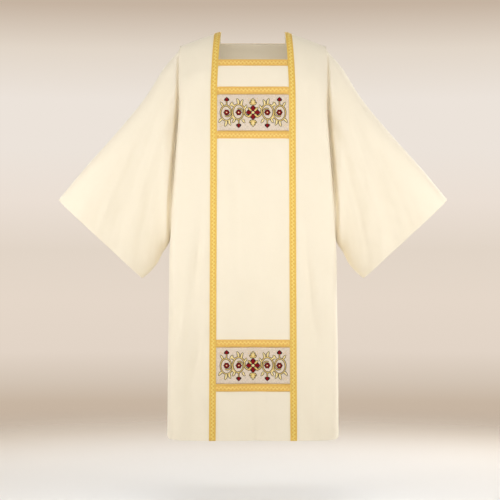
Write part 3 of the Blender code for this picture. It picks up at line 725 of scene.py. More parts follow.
ARC_SAMPLES = 3000        # for measuring along the cloth

# Tone of each part of the braid, from the shaded ground to the brightest thread.
SHADED, FINE, CORDED, GROUND, SEWN, BRIGHT = 0.20, 0.32, 0.54, 0.43, 0.56, 0.74


def straight_path(start, stop, count, across=0.0):
    """A straight path along the cloth."""
    return np.stack((np.linspace(start, stop, count), np.full(count, across)), axis=-1)


def sweep(path, section, tone):
    """A closed bar along a flat path. section is a ring of (sideways, up), or one for each point.

    Flat work is drawn as (along, across, height), and it is laid on the cloth when it is whole.
    """
    section = np.broadcast_to(section, (len(path), *np.shape(section)[-2:]))
    runs = unit(np.gradient(path, axis=0))
    sideways = np.stack((-runs[:, 1], runs[:, 0]), axis=-1)
    rows, sides = section.shape[:2]
    corners = np.empty((rows, sides, 3))
    corners[..., :2] = path[:, None] + sideways[:, None] * section[..., :1]
    corners[..., 2] = section[..., 1]
    number = np.arange(rows * sides).reshape(rows, sides)
    onward = np.roll(number, -1, axis=1)
    quads = np.stack((number[:-1], onward[:-1], onward[1:], number[1:]), axis=-1).reshape(-1, 4)
    faces = quads.tolist() + [number[0, ::-1].tolist(), number[-1].tolist()]
    return corners.reshape(-1, 3), faces, np.full(rows * sides, tone)


def cord(half_width, height, base, sides=5):
    """The section of a round thread that lies half sunk at the height `base`."""
    angles = 2 * math.pi * (np.arange(sides) + 0.5) / sides - math.pi / 2
    return np.stack((half_width * np.cos(angles), base + height * np.sin(angles)), axis=-1)


def copies(pattern, places, angles, tone):
    """Copies of a small shape at flat places, each turned by its own angle."""
    corners, faces = pattern
    cosines, sines = np.cos(angles)[:, None], np.sin(angles)[:, None]
    placed = np.empty((len(places), len(corners), 3))
    placed[..., 0] = places[:, :1] + corners[:, 0] * cosines - corners[:, 1] * sines
    placed[..., 1] = places[:, 1:2] + corners[:, 0] * sines + corners[:, 1] * cosines
    placed[..., 2] = places[:, 2:] + corners[:, 2]
    every = np.array(faces)[None] + (np.arange(len(places)) * len(corners))[:, None, None]
    count = len(places) * len(corners)
    return placed.reshape(-1, 3), every.reshape(-1, every.shape[-1]).tolist(), np.full(count, tone)


def joined(parts):
    """Several pieces of flat work as one."""
    faces = []
    start = 0
    for corners, part, _ in parts:
        faces += [[corner + start for corner in face] for face in part]
        start += len(corners)
    return (np.concatenate([corners for corners, _, _ in parts]), faces,
            np.concatenate([tones for _, _, tones in parts]))


trims = []


def sew_on(name, parts, place, material, node=None):
    """Lay flat work on the cloth. place gives points and normals of the cloth for (along, across)."""
    corners, faces, tones = joined(parts)
    points, normals = place(corners[:, 0], corners[:, 1])
    piece = add_mesh(name, points + normals * corners[:, 2:], faces, corners[:, 1::-1], material)
    piece.data.attributes.new("tone", "FLOAT", "POINT").data.foreach_set("value", tones.astype(np.float32))
    shape = bmesh.new()
    shape.from_mesh(piece.data)
    bmesh.ops.recalc_face_normals(shape, faces=shape.faces)
    shape.to_mesh(piece.data)
    shape.free()
    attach(piece, "root")
    if node:
        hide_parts(node)
    trims.append(piece)


def pebble(half_length, half_width, height, pointed=0.0):
    """A small oval, modelled once: a stitch, a leaf or a spot, to be copied along the braid."""
    bpy.ops.object.select_all(action="DESELECT")
    bpy.ops.mesh.primitive_ico_sphere_add(subdivisions=1, radius=1.0)
    ball = bpy.context.object
    bpy.ops.object.mode_set(mode="EDIT")
    bpy.ops.mesh.select_all(action="SELECT")
    bpy.ops.transform.resize(value=(half_length, half_width, height))
    bpy.ops.object.mode_set(mode="OBJECT")
    corners = np.array([v.co for v in ball.data.vertices])
    corners[:, 1] *= 1.0 - pointed * np.abs(corners[:, 0] / half_length) ** 2
    faces = [list(f.vertices) for f in ball.data.polygons]
    bpy.data.objects.remove(ball, do_unlink=True)
    return corners, faces


stitch = pebble(*STITCH)
spot = pebble(*BRAID_SPOT, pointed=0.4)
braid_leaf = pebble(*BRAID_LEAF, pointed=0.7)


def braid_work(start, stop, width):
    """Flat work of one length of braid, from `start` to `stop` along it."""
    top = GAP + BRAID
    half = width / 2
    count = max(int((stop - start) / BRAID_SAMPLE), 2) + 1
    right = [(half, GAP), (half, BRAID_SHOULDER * top), (half - BRAID_ROUNDING, top)]
    right += [(share * half, top + rise) for share, rise in BRAID_CROWN]
    ground = [(-x, z) for x, z in right[:-1]] + right[::-1]
    parts = [sweep(straight_path(start, stop, count), ground, GROUND)]
    edge = half - EDGE_CORD
    edge_ring, fine_ring = cord(EDGE_CORD, EDGE_CORD_HEIGHT, top), cord(FINE_CORD, FINE_CORD, top, 4)
    for hand in (1, -1):
        parts.append(sweep(straight_path(start, stop, count, hand * edge), edge_ring, CORDED))
        inset = hand * (edge - FINE_CORD_INSET)
        parts.append(sweep(straight_path(start, stop, count, inset), fine_ring, FINE))

    # the stem swings from side to side, and each leaf lies in a bend
    length = stop - start
    turns = np.arange(0.0, length, STEM_REPEAT / STEM_SAMPLES)
    stem = np.stack((start + turns, STEM_SWING * np.sin(2 * math.pi * turns / STEM_REPEAT)), axis=-1)
    parts.append(sweep(stem, cord(STEM_WIDTH, STEM_HEIGHT, top, 6), BRIGHT))
    bends = np.arange(STEM_REPEAT / 4, length - BRAID_LEAF[0], STEM_REPEAT / 2)
    swings = np.where(np.arange(len(bends)) % 2, -STEM_SWING, STEM_SWING)
    slants = np.sign(swings) * math.radians(LEAF_SLANT)
    for pattern, place, angles, tone in ((braid_leaf, LEAF_PLACE, slants, BRIGHT),
                                         (spot, SPOT_PLACE, 0.0 * slants, SHADED)):
        places = np.stack((start + bends, swings * place, np.full(len(bends), top)), axis=-1)
        parts.append(copies(pattern, places, angles, tone))
    along = np.arange(start + STITCH_PITCH / 2, stop - STITCH[0], STITCH_PITCH)
    for hand in (1, -1):
        rows = (along, np.full(len(along), hand * (half - STITCH_INSET)), np.full(len(along), top))
        parts.append(copies(stitch, np.stack(rows, axis=-1), np.zeros(len(along)), SEWN))
    return parts


def arc_table(side, across, top, bottom):
    """Lengths along the cloth from a drop `top`, and the drops that they reach."""
    drops = top + (bottom - top) * np.linspace(0.0, 1.0, ARC_SAMPLES) ** 2
    return distances(panel_point(side, drops, across), 0), drops


def colour_ramp(tree, share, stops):
    """The output of a colour ramp with stops of (position, colour)."""
    node = add_node(tree, "ShaderNodeValToRGB", _0=share)
    while len(node.color_ramp.elements) < len(stops):
        node.color_ramp.elements.new(0.5)
    for element, (position, colour) in zip(node.color_ramp.elements, stops):
        element.position = position
        element.color = (*colour, 1.0)
    return node.outputs[0]


def attribute(tree, name):
    """The output of a value that the mesh carries."""
    return add_node(tree, "ShaderNodeAttribute", {"attribute_name": name}).outputs["Fac"]


def make_gold_thread():
    """Metal thread round a silk core: a warm satin gloss, with a slanting twist in every thread."""
    stops = ((0.0, (0.60, 0.28, 0.04)), (0.30, (0.83, 0.51, 0.095)), (0.55, (0.89, 0.63, 0.135)),
             (1.0, (0.99, 0.87, 0.31)))
    worn = (0.50, 0.29, 0.05, 1.0)
    # painted sheen: bands that lie across are tinted a little redder, standing in for the way their threads
    # catch the light
    painted_sheen_copper, painted_sheen_share = (1.0, 0.50, 0.25, 1.0), 0.16      # bands that lie across look a little redder
    twist_slant, twist_pitch = 0.55, 0.0011
    warp_pitch, warp_relief = 0.0008, 0.5
    material, shader, tree = new_material("gold_galloon")
    flat = flat_place(tree)
    cloud = add_node(tree, "ShaderNodeTexNoise", Vector=flat, Scale=260.0, Detail=3.0).outputs[0]
    colour = colour_ramp(tree, attribute(tree, "tone"), stops)
    colour = colour_mix(tree, above(tree, cloud, level=0.42, gain=0.9), colour, worn)
    painted_sheen_redder = math_node(tree, "MULTIPLY", attribute(tree, "crosswise"), painted_sheen_share)
    tree.links.new(colour_mix(tree, painted_sheen_redder, colour, painted_sheen_copper), shader.inputs["Base Color"])
    x, y, _ = add_node(tree, "ShaderNodeSeparateXYZ", _0=flat).outputs
    slant = math_node(tree, "ADD", y, math_node(tree, "MULTIPLY", x, twist_slant))
    warp = math_node(tree, "MULTIPLY", wave(tree, x, warp_pitch), warp_relief)
    height = math_node(tree, "ADD", wave(tree, slant, twist_pitch), warp)
    add_bump(tree, shader, height, strength=0.5, distance=0.00012)
    shader.inputs["Metallic"].default_value = 0.30
    shader.inputs["Roughness"].default_value = 0.42
    return material


gold_thread = make_gold_thread()


def make_long_band(side, hand, name, node):
    """One band from the shoulder seam to the hem."""
    middle = (NECK + BAND) / 2
    lengths, drops = arc_table(side, hand * middle, 0.0, LENGTH)

    def place(along, across):
        return panel_sheet(side, np.interp(along, lengths, drops), hand * (middle + across / GALLOON_WIDTH))

    sew_on(name, braid_work(0.0, lengths[-1], GALLOON_WIDTH), place, gold_thread, node)


for side, face in ((FRONT, "front"), (BACK, "back")):
    for hand, name in ((LEFT, "left"), (RIGHT, "right")):
        make_long_band(side, hand, f"galloon_{face}_{name}", f"clavus_{face}_{name}")

# ---------------------------------------------------------------- neck bands and frames of the panels
# The same braid, cut to fit between the long bands: along the neckline in front and behind, and above
# and below each embroidered panel, where a twisted gold cord and a dark one finish it.
NECK_BAND_ANGLE = 44.0    # turn of the cloth at which the band behind the neck ends
FRAME_WIDTH = 0.0246
ORPHREY_HEIGHT = 0.1138   # of an embroidered panel, between its frames
CHEST_ORPHREY = 0.2113    # drop of its top edge
SKIRT_ORPHREY = 1.0065
ARC_MARGIN = 1.2          # the cloth under a band is measured over this many times its height
STRIP = 0.0007            # thickness of the strip that carries the cords
STRIP_COUNT = 60          # points along it
TWIST_PITCH = 0.0042
TWIST_STRAND = 0.00055
TWIST_RISE = 1.2          # of the strands' middle over the strip, in strands
TWIST_SAMPLES = 10        # in each turn of the twist
TWIST_INSET = 0.0006      # from the middle of the strip towards the band
TWIST_BASE = 0.0005       # height at which it lies over the cloth
DARK_CORD = 0.0005        # its half width, and its distance from the edge of the strip
DARK_CORD_BASE = 0.0008   # height of its middle over the cloth
STRIP_TONE, TWIST_TONE, DARK_TONE = 0.85, 0.75, 0.15


def cross_place(side, top, height):
    """Lays flat work between the long bands. along is from the middle, and across is up from half height."""
    lengths, drops = arc_table(side, 0.0, top, top + height * ARC_MARGIN)
    middle_drop = float(np.interp(height / 2, lengths, drops))
    half = float(clavus("out", middle_drop)) - GALLOON_WIDTH / 2 - GAP

    def place(along, across):
        drop = np.interp(height / 2 - across, lengths, drops)
        inner = clavus("out", drop) - GALLOON_WIDTH / 2
        return panel_sheet(side, drop, along / half * (inner - GAP) / inner)

    return place, half


def twisted_cord(half, across, base):
    """Flat work of two gold strands wound round each other."""
    turns = 2 * half / TWIST_PITCH
    t = np.linspace(0.0, 1.0, int(turns * TWIST_SAMPLES) + 1)
    parts = []
    for start in (0.0, math.pi):
        angle = 2 * math.pi * turns * t + start
        path = np.stack((-half + 2 * half * t, across + TWIST_STRAND * np.cos(angle)), axis=-1)
        section = np.repeat(cord(TWIST_STRAND, TWIST_STRAND, 0.0)[None], len(t), axis=0)
        section[..., 1] += (base + TWIST_STRAND * (TWIST_RISE + np.sin(angle)))[:, None]
        parts.append(sweep(path, section, TWIST_TONE))
    return parts


def make_cross_band(name, node, side, top, height, panel_side=0):
    """A band between the long bands. panel_side is 1 or -1 where a panel lies above or below it."""
    place, half = cross_place(side, top, height)
    parts = [(corners + (0.0, panel_side * (GALLOON_WIDTH - height) / 2, 0.0), faces, tones)
             for corners, faces, tones in braid_work(-half, half, min(height, GALLOON_WIDTH))]
    if panel_side:
        strip = height - GALLOON_WIDTH
        middle = panel_side * (height - strip) / 2
        line = straight_path(-half, half, STRIP_COUNT, middle)
        thick = GAP + STRIP
        ribbon = ((-strip / 2, GAP), (-strip / 2, thick), (strip / 2, thick), (strip / 2, GAP))
        parts.append(sweep(line, ribbon, STRIP_TONE))
        parts += twisted_cord(half, middle - panel_side * TWIST_INSET, GAP + TWIST_BASE)
        edge = line + (0.0, panel_side * (strip / 2 - DARK_CORD))
        parts.append(sweep(edge, cord(DARK_CORD, DARK_CORD, GAP + DARK_CORD_BASE), DARK_TONE))
    sew_on(name, parts, place, gold_thread, node)
    # painted sheen: marks the bands that lie across, which the gold thread tints a little redder for the way
    # light falls along their threads
    crosswise = trims[-1].data.attributes.new("crosswise", "FLOAT", "POINT")
    crosswise.data.foreach_set("value", np.ones(len(crosswise.data), np.float32))


make_cross_band("galloon_neck_front", "neck_band_front", FRONT, NECK_FRONT, GALLOON_WIDTH)
neck_back = cap_drop(NECK_BACK_ANGLE)
lengths, _ = arc_table(BACK, 0.0, neck_back, cap_drop(NECK_BAND_ANGLE))
make_cross_band("galloon_neck_back", "neck_band_back", BACK, neck_back, float(lengths[-1]))
for panel, top in (("chest", CHEST_ORPHREY), ("skirt", SKIRT_ORPHREY)):
    for end, away, panel_side in (("upper", -FRAME_WIDTH, -1), ("lower", ORPHREY_HEIGHT, 1)):
        make_cross_band(f"galloon_{panel}_{end}", f"band_{panel}_{end}", FRONT, top + away, FRAME_WIDTH,
                        panel_side)

# ---------------------------------------------------------------- embroidered panels
# Two oblongs of taupe silk between the frames, worked by hand over padding: a rosette in the middle and
# a vine that winds out to each side, in dark red and dark grey satin stitch and in laid gold with an
# olive outline. The work is drawn flat in millimetres from the middle of the panel, as (x, y).
MM = 0.001
GROUND_SILK = 0.0011      # thickness of the ground
GROUND_SAMPLE = 0.004

THREAD = 0.75             # width of a satin thread
PADDING = 0.75            # height of the stitching over the ground
PADDING_WIDTH = 1.2       # half width from which the padding is full
RIDGE_FALL = 0.22         # how much lower every second thread lies, as a share of the height
RIDGE_INSET = 0.10        # and how much shorter it is
THINNEST = 0.12           # half width at a tip
DISC_END = 0.01           # keeps the first and the last thread of a round boss from being points
OUTLINE = 1.45            # how far an olive outline shows beside the stitching
OUTLINE_HEIGHT = 0.4
RIM = 3.1                 # how far the dark grey shows round the petals
RIM_RISE = 0.1            # of the dark grey over the outlines
STROKE_COLUMNS = 6

ROUNDEL = (19.0, 26.0)    # half width and half height of each bend of the vine
FIRST_ROUNDEL = 45.0      # its middle, measured from the middle of the panel
ROUNDELS = 2              # on each side
ROUNDEL_SAMPLES = 120
LEAD_IN = (12.0, 96.0)    # radius and turn of the vine as it leaves the rosette
LEAD_IN_SAMPLES = 40
VINE_TIP = -4.0           # how far the vine turns past its last roundel, in degrees
VINE_WIDTH = (1.9, 1.3)   # half width at the rosette and at the end
CURL_END = 11.0           # radius at which a tendril ends, round its floret
CURL_TURN = 1.62 * math.pi
CURL_WIDTH = (1.7, 1.3)
CURL_SAMPLES = 160

# Olive and gold share one scale of tones, and so do the dark threads.
GOLD, PALE_GOLD = 0.7, 1.0
OLIVE, SLATE = 0.0, 1.0
PETAL = 0.6               # on the scale of the red

# Leaves on a roundel that bends upwards. at: where the foot lies on it, in degrees round from its outer
# side; way: where it points; turn: how far it bends along its length; then its length and half width.
LEAVES = (
    (152.0, 150.0, -60.0, 15.0, 2.8),
    (118.0, 78.0, 56.0, 19.0, 3.4),
    (84.0, 108.0, -66.0, 20.0, 3.6),
    (50.0, 18.0, 58.0, 18.0, 3.2),
    (-48.0, -84.0, 50.0, 16.0, 2.9),
    (-132.0, -96.0, -50.0, 16.0, 2.9),
)
STALK = (-90.0, 13.0)     # where the stalk of a bud leaves the roundel, and its length
STALK_FOOT = 0.86         # share of the roundel's half height at which it starts
STALK_WIDTH = (1.4, 1.0)
KNOT = 1.5                # half width of a gold knot
KNOTS = ((96.5, 38.0), (101.5, 42.0), (104.5, 36.5), (97.0, -40.5), (103.0, -37.0), (103.5, -43.5),
         (8.0, 41.0), (14.0, 37.5), (13.0, 44.0))

# Petals: length, half width, shape, and how far from the middle they start. A shape below 1 brings the
# widest part nearer to the foot. Eyes: radius, and how far they stand over the stitching.
LEAF_SHAPE = 0.75
FULLNESS = 0.8            # of a leaf or a petal: the lower, the fuller
BUD = (13.0, 5.4, 0.62)
FLORET = (8.4, 3.1, 0.8, 1.2)
FLORET_PETALS = 6
FLORET_EYE = (2.4, 0.35)
ROSETTE = (17.0, 7.0, 0.72, 5.5)
ROSETTE_PETALS = 4
ROSETTE_EYE = (4.6, 0.5)
ROSETTE_EYE_RIM = 1.5
ROSETTE_LEAF = (17.0, 3.2, 6.5)      # between the petals: length, half width, and where it starts

# The spray above and below the rosette: one leaf straight up, by the y of its foot, length and half
# width, and pairs of others, by the y of the foot, lean from upright, turn, length and half width.
UPRIGHT_LEAF = (26.0, 20.0, 3.4)
SPRAY = (
    (25.0, 38.0, 34.0, 17.0, 2.5),
    (24.5, 78.0, 50.0, 15.0, 2.2),
)


def even(path):
    """A path with its points half a thread apart."""
    lengths = distances(path, 0)
    at = np.linspace(0.0, lengths[-1], max(int(round(2 * lengths[-1] / THREAD)), 2) + 1)
    return np.stack([np.interp(at, lengths, path[:, k]) for k in (0, 1)], axis=-1)


def bent_path(start, way, length, turn=0.0):
    """Points of a line that leaves its start one way, in degrees, and turns evenly along its length."""
    t = np.linspace(0.0, 1.0, max(int(2 * length / THREAD), 3) + 1)
    heading = np.radians(way + turn * t)
    run = np.stack((np.cos(heading), np.sin(heading)), axis=-1) * length / (len(t) - 1)
    return start + np.concatenate((np.zeros((1, 2)), np.cumsum((run[1:] + run[:-1]) / 2, axis=0)))


def worked(path, half_widths, tone, height=PADDING, ridges=True):
    """Satin stitch along a path, a thread to each step, over padding that is full in the middle."""
    rows = len(path)
    widths = np.broadcast_to(half_widths, (rows,)).astype(float)
    heights = height * np.minimum(widths / PADDING_WIDTH, 1.0) ** 0.5
    if ridges:
        second = np.arange(rows) % 2
        heights = heights * (1.0 - RIDGE_FALL * second)
        widths = widths - RIDGE_INSET * second
    across = np.sin(np.linspace(-math.pi / 2, math.pi / 2, STROKE_COLUMNS + 1))
    section = np.empty((rows, STROKE_COLUMNS + 1, 2))
    section[..., 0] = np.maximum(widths, THINNEST)[:, None] * across
    section[..., 1] = heights[:, None] * np.sqrt(np.maximum(1.0 - across ** 2, 0.0))
    corners, faces, tones = sweep(path, section, tone)
    return corners * MM + (0.0, 0.0, GAP + GROUND_SILK), faces, tones


def lens(count, half_width, shape=LEAF_SHAPE):
    """Half widths of a leaf or a petal along its length."""
    t = np.linspace(0.0, 1.0, count)
    return half_width * np.sin(math.pi * t ** shape) ** FULLNESS


def disc(x, y, radius, tone, height):
    """A round boss of satin stitch."""
    path = bent_path((x - radius, y), 0.0, 2 * radius)
    t = np.linspace(-1.0, 1.0, len(path))
    return worked(path, radius * np.sqrt(np.maximum(1.0 - t ** 2, DISC_END)), tone, height)


def on_roundel(middle, degrees, size=ROUNDEL):
    """Points of a roundel at angles round from its outer side."""
    angle = np.radians(degrees)
    return np.stack((middle + size[0] * np.cos(angle), size[1] * np.sin(angle)), axis=-1)


def vine():
    """The main stem on one side of the panel, bending over and under from the rosette outwards."""
    radius, turn = LEAD_IN
    foot = FIRST_ROUNDEL - ROUNDEL[0]
    stretches = [on_roundel(foot - radius, np.linspace(-turn, 0.0, LEAD_IN_SAMPLES)[:-1], (radius, radius))]
    for k in range(ROUNDELS):
        middle = FIRST_ROUNDEL + 2 * ROUNDEL[0] * k
        bend = on_roundel(middle, np.linspace(180.0, 0.0, ROUNDEL_SAMPLES)[:-1])
        stretches.append(bend * (1.0, (-1.0) ** k))
    tip = on_roundel(middle, np.array((0.0, VINE_TIP)))
    stretches.append(tip * (1.0, (-1.0) ** k))
    return even(np.concatenate(stretches))


def curl(middle):
    """A tendril that closes a roundel and winds inwards round its floret."""
    t = np.linspace(0.0, 1.0, CURL_SAMPLES)
    wide, high = (size + (CURL_END - size) * t for size in ROUNDEL)
    angle = -CURL_TURN * t
    return even(np.stack((middle + wide * np.cos(angle), high * np.sin(angle)), axis=-1))


def pointing(degrees):
    """A direction."""
    return np.array((math.cos(math.radians(degrees)), math.sin(math.radians(degrees))))


def embroidery():
    """All the stitching of one panel: a list of flat pieces for each colour of thread."""
    gold, dark, red = [], [], []

    def stroke(path, widths, tone=GOLD):
        gold.append(worked(path, widths, tone))
        dark.append(worked(path[::2], widths[::2] + OUTLINE, OLIVE, OUTLINE_HEIGHT, ridges=False))

    def leaf(path, half_width, tone=GOLD):
        stroke(path, lens(len(path), half_width), tone)

    def petal(path, half_width, shape):
        red.append(worked(path, lens(len(path), half_width, shape), PETAL))
        rim = np.concatenate((path[:1] * 2 - path[4:5], path, path[-1:] * 2 - path[-5:-4]))
        dark.append(worked(rim, lens(len(rim), half_width + RIM, shape), SLATE, OUTLINE_HEIGHT + RIM_RISE))

    for hand in (1, -1):
        side = np.array((hand, 1.0))
        stem = vine()
        stroke(stem * side, np.linspace(*VINE_WIDTH, len(stem)))
        for k in range(ROUNDELS):
            middle = FIRST_ROUNDEL + 2 * ROUNDEL[0] * k
            side = np.array((hand, (-1.0) ** k))
            tendril = curl(middle)
            stroke(tendril * side, np.linspace(*CURL_WIDTH, len(tendril)))
            for at, way, turn, length, half_width in LEAVES:
                leaf(bent_path(on_roundel(middle, at), way, length, turn) * side, half_width, PALE_GOLD)
            way, length = STALK
            foot = on_roundel(middle, way, (ROUNDEL[0], ROUNDEL[1] * STALK_FOOT))
            stalk = bent_path(foot, way, length)
            stroke(stalk * side, np.linspace(*STALK_WIDTH, len(stalk)))
            length, half_width, shape = BUD
            petal(bent_path(stalk[-1], way, length) * side, half_width, shape)
            length, half_width, shape, away = FLORET
            for number in range(FLORET_PETALS):
                way = 360.0 * number / FLORET_PETALS
                start = np.array((middle, 0.0)) + pointing(way) * away
                petal(bent_path(start, way, length) * side, half_width, shape)
            radius, rise = FLORET_EYE
            gold.append(disc(hand * middle, 0.0, radius, PALE_GOLD, PADDING + rise))
        for knot_x, knot_y in KNOTS:
            gold.append(disc(hand * knot_x, knot_y, KNOT, GOLD, PADDING))

    for number in range(ROSETTE_PETALS):
        way = 360.0 * number / ROSETTE_PETALS
        length, half_width, shape, away = ROSETTE
        petal(bent_path(pointing(way) * away, way, length), half_width, shape)
        between = way + 180.0 / ROSETTE_PETALS
        length, half_width, away = ROSETTE_LEAF
        leaf(bent_path(pointing(between) * away, between, length), half_width)
    radius, rise = ROSETTE_EYE
    dark.append(disc(0.0, 0.0, radius + ROSETTE_EYE_RIM, SLATE, PADDING + RIM_RISE))
    gold.append(disc(0.0, 0.0, radius, PALE_GOLD, PADDING + rise))
    for up in (1, -1):
        flip = np.array((1.0, up))
        foot, length, half_width = UPRIGHT_LEAF
        leaf(bent_path((0.0, foot), 90.0, length) * flip, half_width, PALE_GOLD)
        for hand in (1, -1):
            for foot, lean, turn, length, half_width in SPRAY:
                path = bent_path((0.0, foot), 90.0 - lean * hand, length, turn * hand)
                leaf(path * flip, half_width)
    return gold, dark, red


def make_thread(name, stops, darker, metallic, roughness, specular):
    """Embroidery thread: tones by stop, each thread a little different from the next."""
    material, shader, tree = new_material(name)
    colour = colour_ramp(tree, attribute(tree, "tone"), stops)
    place = add_node(tree, "ShaderNodeTexCoord").outputs["Object"]
    speckle = add_node(tree, "ShaderNodeTexNoise", Vector=place, Scale=900.0, Detail=2.0).outputs[0]
    uneven = above(tree, speckle, level=0.35, gain=0.8)
    tree.links.new(colour_mix(tree, uneven, colour, (*darker, 1.0)), shader.inputs["Base Color"])
    add_bump(tree, shader, speckle, strength=0.35, distance=0.00015)
    shader.inputs["Metallic"].default_value = metallic
    shader.inputs["Roughness"].default_value = roughness
    shader.inputs["Specular IOR Level"].default_value = specular
    return material


def make_ground_silk():
    """Taupe silk in plain weave, with slubs in both directions and a few brighter threads."""
    taupe, bright = (0.54, 0.445, 0.345, 1.0), (0.85, 0.73, 0.61, 1.0)
    slubs = ((0.0009, 0.007), (0.007, 0.0009))      # down the silk and across it
    material, shader, tree = new_material("orphrey_ground")
    flat = flat_place(tree)
    weave = math_node(tree, "ADD", *[slub_noise(tree, flat, size, 1.0) for size in slubs])
    shade = share_of(tree, weave, low=0.7, high=1.3)
    tree.links.new(colour_mix(tree, shade, taupe, bright), shader.inputs["Base Color"])
    add_bump(tree, shader, weave, strength=0.5, distance=0.0002)
    shader.inputs["Roughness"].default_value = 0.55
    shader.inputs["Sheen Weight"].default_value = 0.10
    return material


ground_silk = make_ground_silk()
gold_silk = make_thread(
    "embroidery_gold", metallic=0.20, roughness=0.42, specular=0.35, darker=(0.46, 0.32, 0.09),
    stops=((0.0, (0.34, 0.22, 0.04)), (0.75, (0.80, 0.59, 0.20)), (1.0, (0.93, 0.77, 0.38))))
dark_silk = make_thread(
    "embroidery_dark", metallic=0.0, roughness=0.60, specular=0.12, darker=(0.02, 0.014, 0.010),
    stops=((0.0, (0.055, 0.036, 0.012)), (1.0, (0.010, 0.007, 0.008))))
red_silk = make_thread(
    "embroidery_red", metallic=0.0, roughness=0.50, specular=0.12, darker=(0.10, 0.001, 0.003),
    stops=((0.0, (0.13, 0.002, 0.004)), (1.0, (0.30, 0.003, 0.008))))


def make_orphrey(name, top):
    """One embroidered panel: its ground and the three colours of its stitching."""
    place, half = cross_place(FRONT, top, ORPHREY_HEIGHT)
    high = ORPHREY_HEIGHT / 2 - GAP
    line = straight_path(-half, half, int(2 * half / GROUND_SAMPLE) + 1)
    across = np.linspace(-high, high, int(2 * high / GROUND_SAMPLE) + 1)
    ring = [(a, GAP + GROUND_SILK) for a in across] + [(a, GAP) for a in across[::-1]]
    ground = sweep(line, ring, 0.0)
    sew_on(f"ground_{name}", [ground], place, ground_silk, f"orphrey_{name}")
    threads = (gold_silk, dark_silk, red_silk)
    for colour, parts, material in zip(("gold", "dark", "red"), embroidery(), threads):
        sew_on(f"stitching_{name}_{colour}", parts, place, material)


make_orphrey("chest", CHEST_ORPHREY)
make_orphrey("skirt", SKIRT_ORPHREY)

# ---------------------------------------------------------------- floor, backdrop and light
# A pale floor that fades out, with painted shade that darkens it farther away, a soft warm backdrop all
# round with painted shade towards the floor line and the top, and large soft lamps. None of them is part of
# the garment.
FLOOR_HEIGHT = -1.50
FLOOR_RADIUS = 3.2
FLOOR_CLEAR = (1.1, 3.15)     # the floor fades out between these distances
FLOOR_NEAR = (0.790, 0.785, 0.778, 1.0)
# painted shade: the floor darkens and warms from FLOOR_NEAR to FLOOR_FAR farther out, leading into the
# backdrop's shaded floor line
FLOOR_FAR = (0.700, 0.630, 0.550, 1.0)
FLOOR_SHADE_RUN = (0.4, 2.0)      # its colour changes between these distances

bpy.ops.mesh.primitive_circle_add(vertices=96, radius=FLOOR_RADIUS, fill_type="NGON",
                                  location=(0.0, 0.0, FLOOR_HEIGHT))
floor = bpy.context.object
floor.name = "floor"
floor_material, floor_shader, tree = new_material("floor")
floor_shader.inputs["Roughness"].default_value = 0.9
place = add_node(tree, "ShaderNodeTexCoord").outputs["Object"]
away = add_node(tree, "ShaderNodeVectorMath", {"operation": "LENGTH"}, _0=place).outputs["Value"]
# painted shade: the floor's colour darkens farther from the middle
floor_shade_share = share_of(tree, away, *FLOOR_SHADE_RUN)
tree.links.new(colour_mix(tree, floor_shade_share, FLOOR_NEAR, FLOOR_FAR), floor_shader.inputs["Base Color"])
fade = share_of(tree, away, *FLOOR_CLEAR, "SMOOTHSTEP")
clear = add_node(tree, "ShaderNodeBsdfTransparent")
blend = add_node(tree, "ShaderNodeMixShader", _0=fade, _1=floor_shader.outputs[0], _2=clear.outputs[0])
tree.links.new(blend.outputs[0], tree.nodes["Material Output"].inputs["Surface"])
floor.data.materials.append(floor_material)

# height of a direction above the horizon, as its sine, and the colour of the backdrop there: painted shade
# makes it darkest at the floor line and towards the top
BACKDROP = (
    (-0.101, (0.565, 0.456, 0.356)),
    (-0.094, (0.578, 0.468, 0.366)),
    (-0.081, (0.658, 0.558, 0.462)),
    (-0.063, (0.761, 0.658, 0.565)),
    (-0.031, (0.784, 0.680, 0.584)),
    (0.000, (0.761, 0.665, 0.571)),
    (0.031, (0.831, 0.738, 0.658)),
    (0.063, (0.839, 0.768, 0.701)),
    (0.094, (0.839, 0.768, 0.701)),
    (0.125, (0.761, 0.672, 0.578)),
    (0.152, (0.565, 0.456, 0.361)),
)
BACKDROP_SPAN = 0.32
FILL_COLOUR = (1.0, 0.97, 0.93, 1.0)
FILL_STRENGTH = 0.475

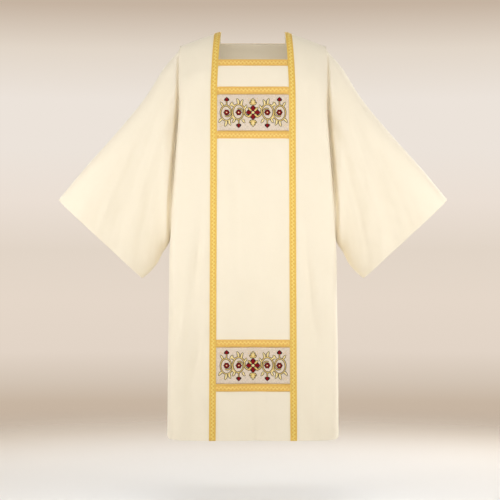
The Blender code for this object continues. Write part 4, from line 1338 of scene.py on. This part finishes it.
world = bpy.data.worlds.new("studio")
bpy.context.scene.world = world
world.use_nodes = True
tree = world.node_tree
direction = add_node(tree, "ShaderNodeTexCoord").outputs["Generated"]
up = add_node(tree, "ShaderNodeSeparateXYZ", _0=direction).outputs[2]
level = share_of(tree, up, -BACKDROP_SPAN / 2, BACKDROP_SPAN / 2)
backdrop_painted_shade = colour_ramp(tree, level, [(sine / BACKDROP_SPAN + 0.5, colour) for sine, colour in BACKDROP])
shown = add_node(tree, "ShaderNodeBackground", Color=backdrop_painted_shade, Strength=1.0)
fill = tree.nodes["Background"]
fill.inputs["Color"].default_value = FILL_COLOUR
fill.inputs["Strength"].default_value = FILL_STRENGTH
ray = add_node(tree, "ShaderNodeLightPath")
both = add_node(tree, "ShaderNodeMixShader", _0=ray.outputs["Is Camera Ray"], _1=fill.outputs[0],
                _2=shown.outputs[0])
tree.links.new(both.outputs[0], tree.nodes["World Output"].inputs["Surface"])

# Each lamp: where it stands, the point that it faces, its width and height, and its power. A long low strip
# in front lights the middle best, the key from the left brings the folds out, and one stands in the neck.
LAMP_COLOUR = (1.0, 0.985, 0.965)
LAMPS = (
    ("key", (-7.0, -4.4, 0.5), (0.0, 0.0, -0.6), (1.2, 1.2), 24.0),
    ("strip", (0.0, -1.1, -0.55), (0.0, 0.0, -0.55), (2.5, 0.25), 6.7),
    ("left", (-1.60, -0.66, -0.50), (-0.2, 0.0, -0.57), (0.5, 0.7), 7.2),
    ("right", (1.60, -0.66, -0.50), (0.2, 0.0, -0.57), (0.5, 0.7), 7.7),
    ("top", (0.0, -0.8, 1.4), (0.0, 0.0, -0.4), (1.6, 1.4), 8.4),
    ("neck", (0.0, -0.05, -0.22), (0.0, 0.105, -0.05), (0.16, 0.10), 0.16),
    ("back_left", (1.7, 1.5, -0.2), (0.1, 0.0, -0.6), (1.0, 1.0), 22.0),
    ("back_right", (-1.5, 1.7, -0.2), (0.0, 0.0, -0.6), (1.0, 1.0), 9.0),
    ("floor", (0.0, 2.3, 0.9), (0.0, 2.3, -1.5), (2.0, 1.4), 20.0),
)
for name, place, faces, size, power in LAMPS:
    bpy.ops.object.light_add(type="AREA", location=place)
    lamp = bpy.context.object
    lamp.name = f"lamp_{name}"
    lamp.data.shape = "RECTANGLE"
    lamp.data.size, lamp.data.size_y = size
    lamp.data.energy = power
    lamp.data.color = LAMP_COLOUR
    lamp.visible_camera = False
    towards = np.array(faces) - np.array(place)
    lamp.rotation_euler = (math.atan2(math.hypot(towards[0], towards[1]), -towards[2]), 0.0,
                           math.atan2(-towards[0], towards[1]))

bpy.context.scene.view_settings.view_transform = "Standard"
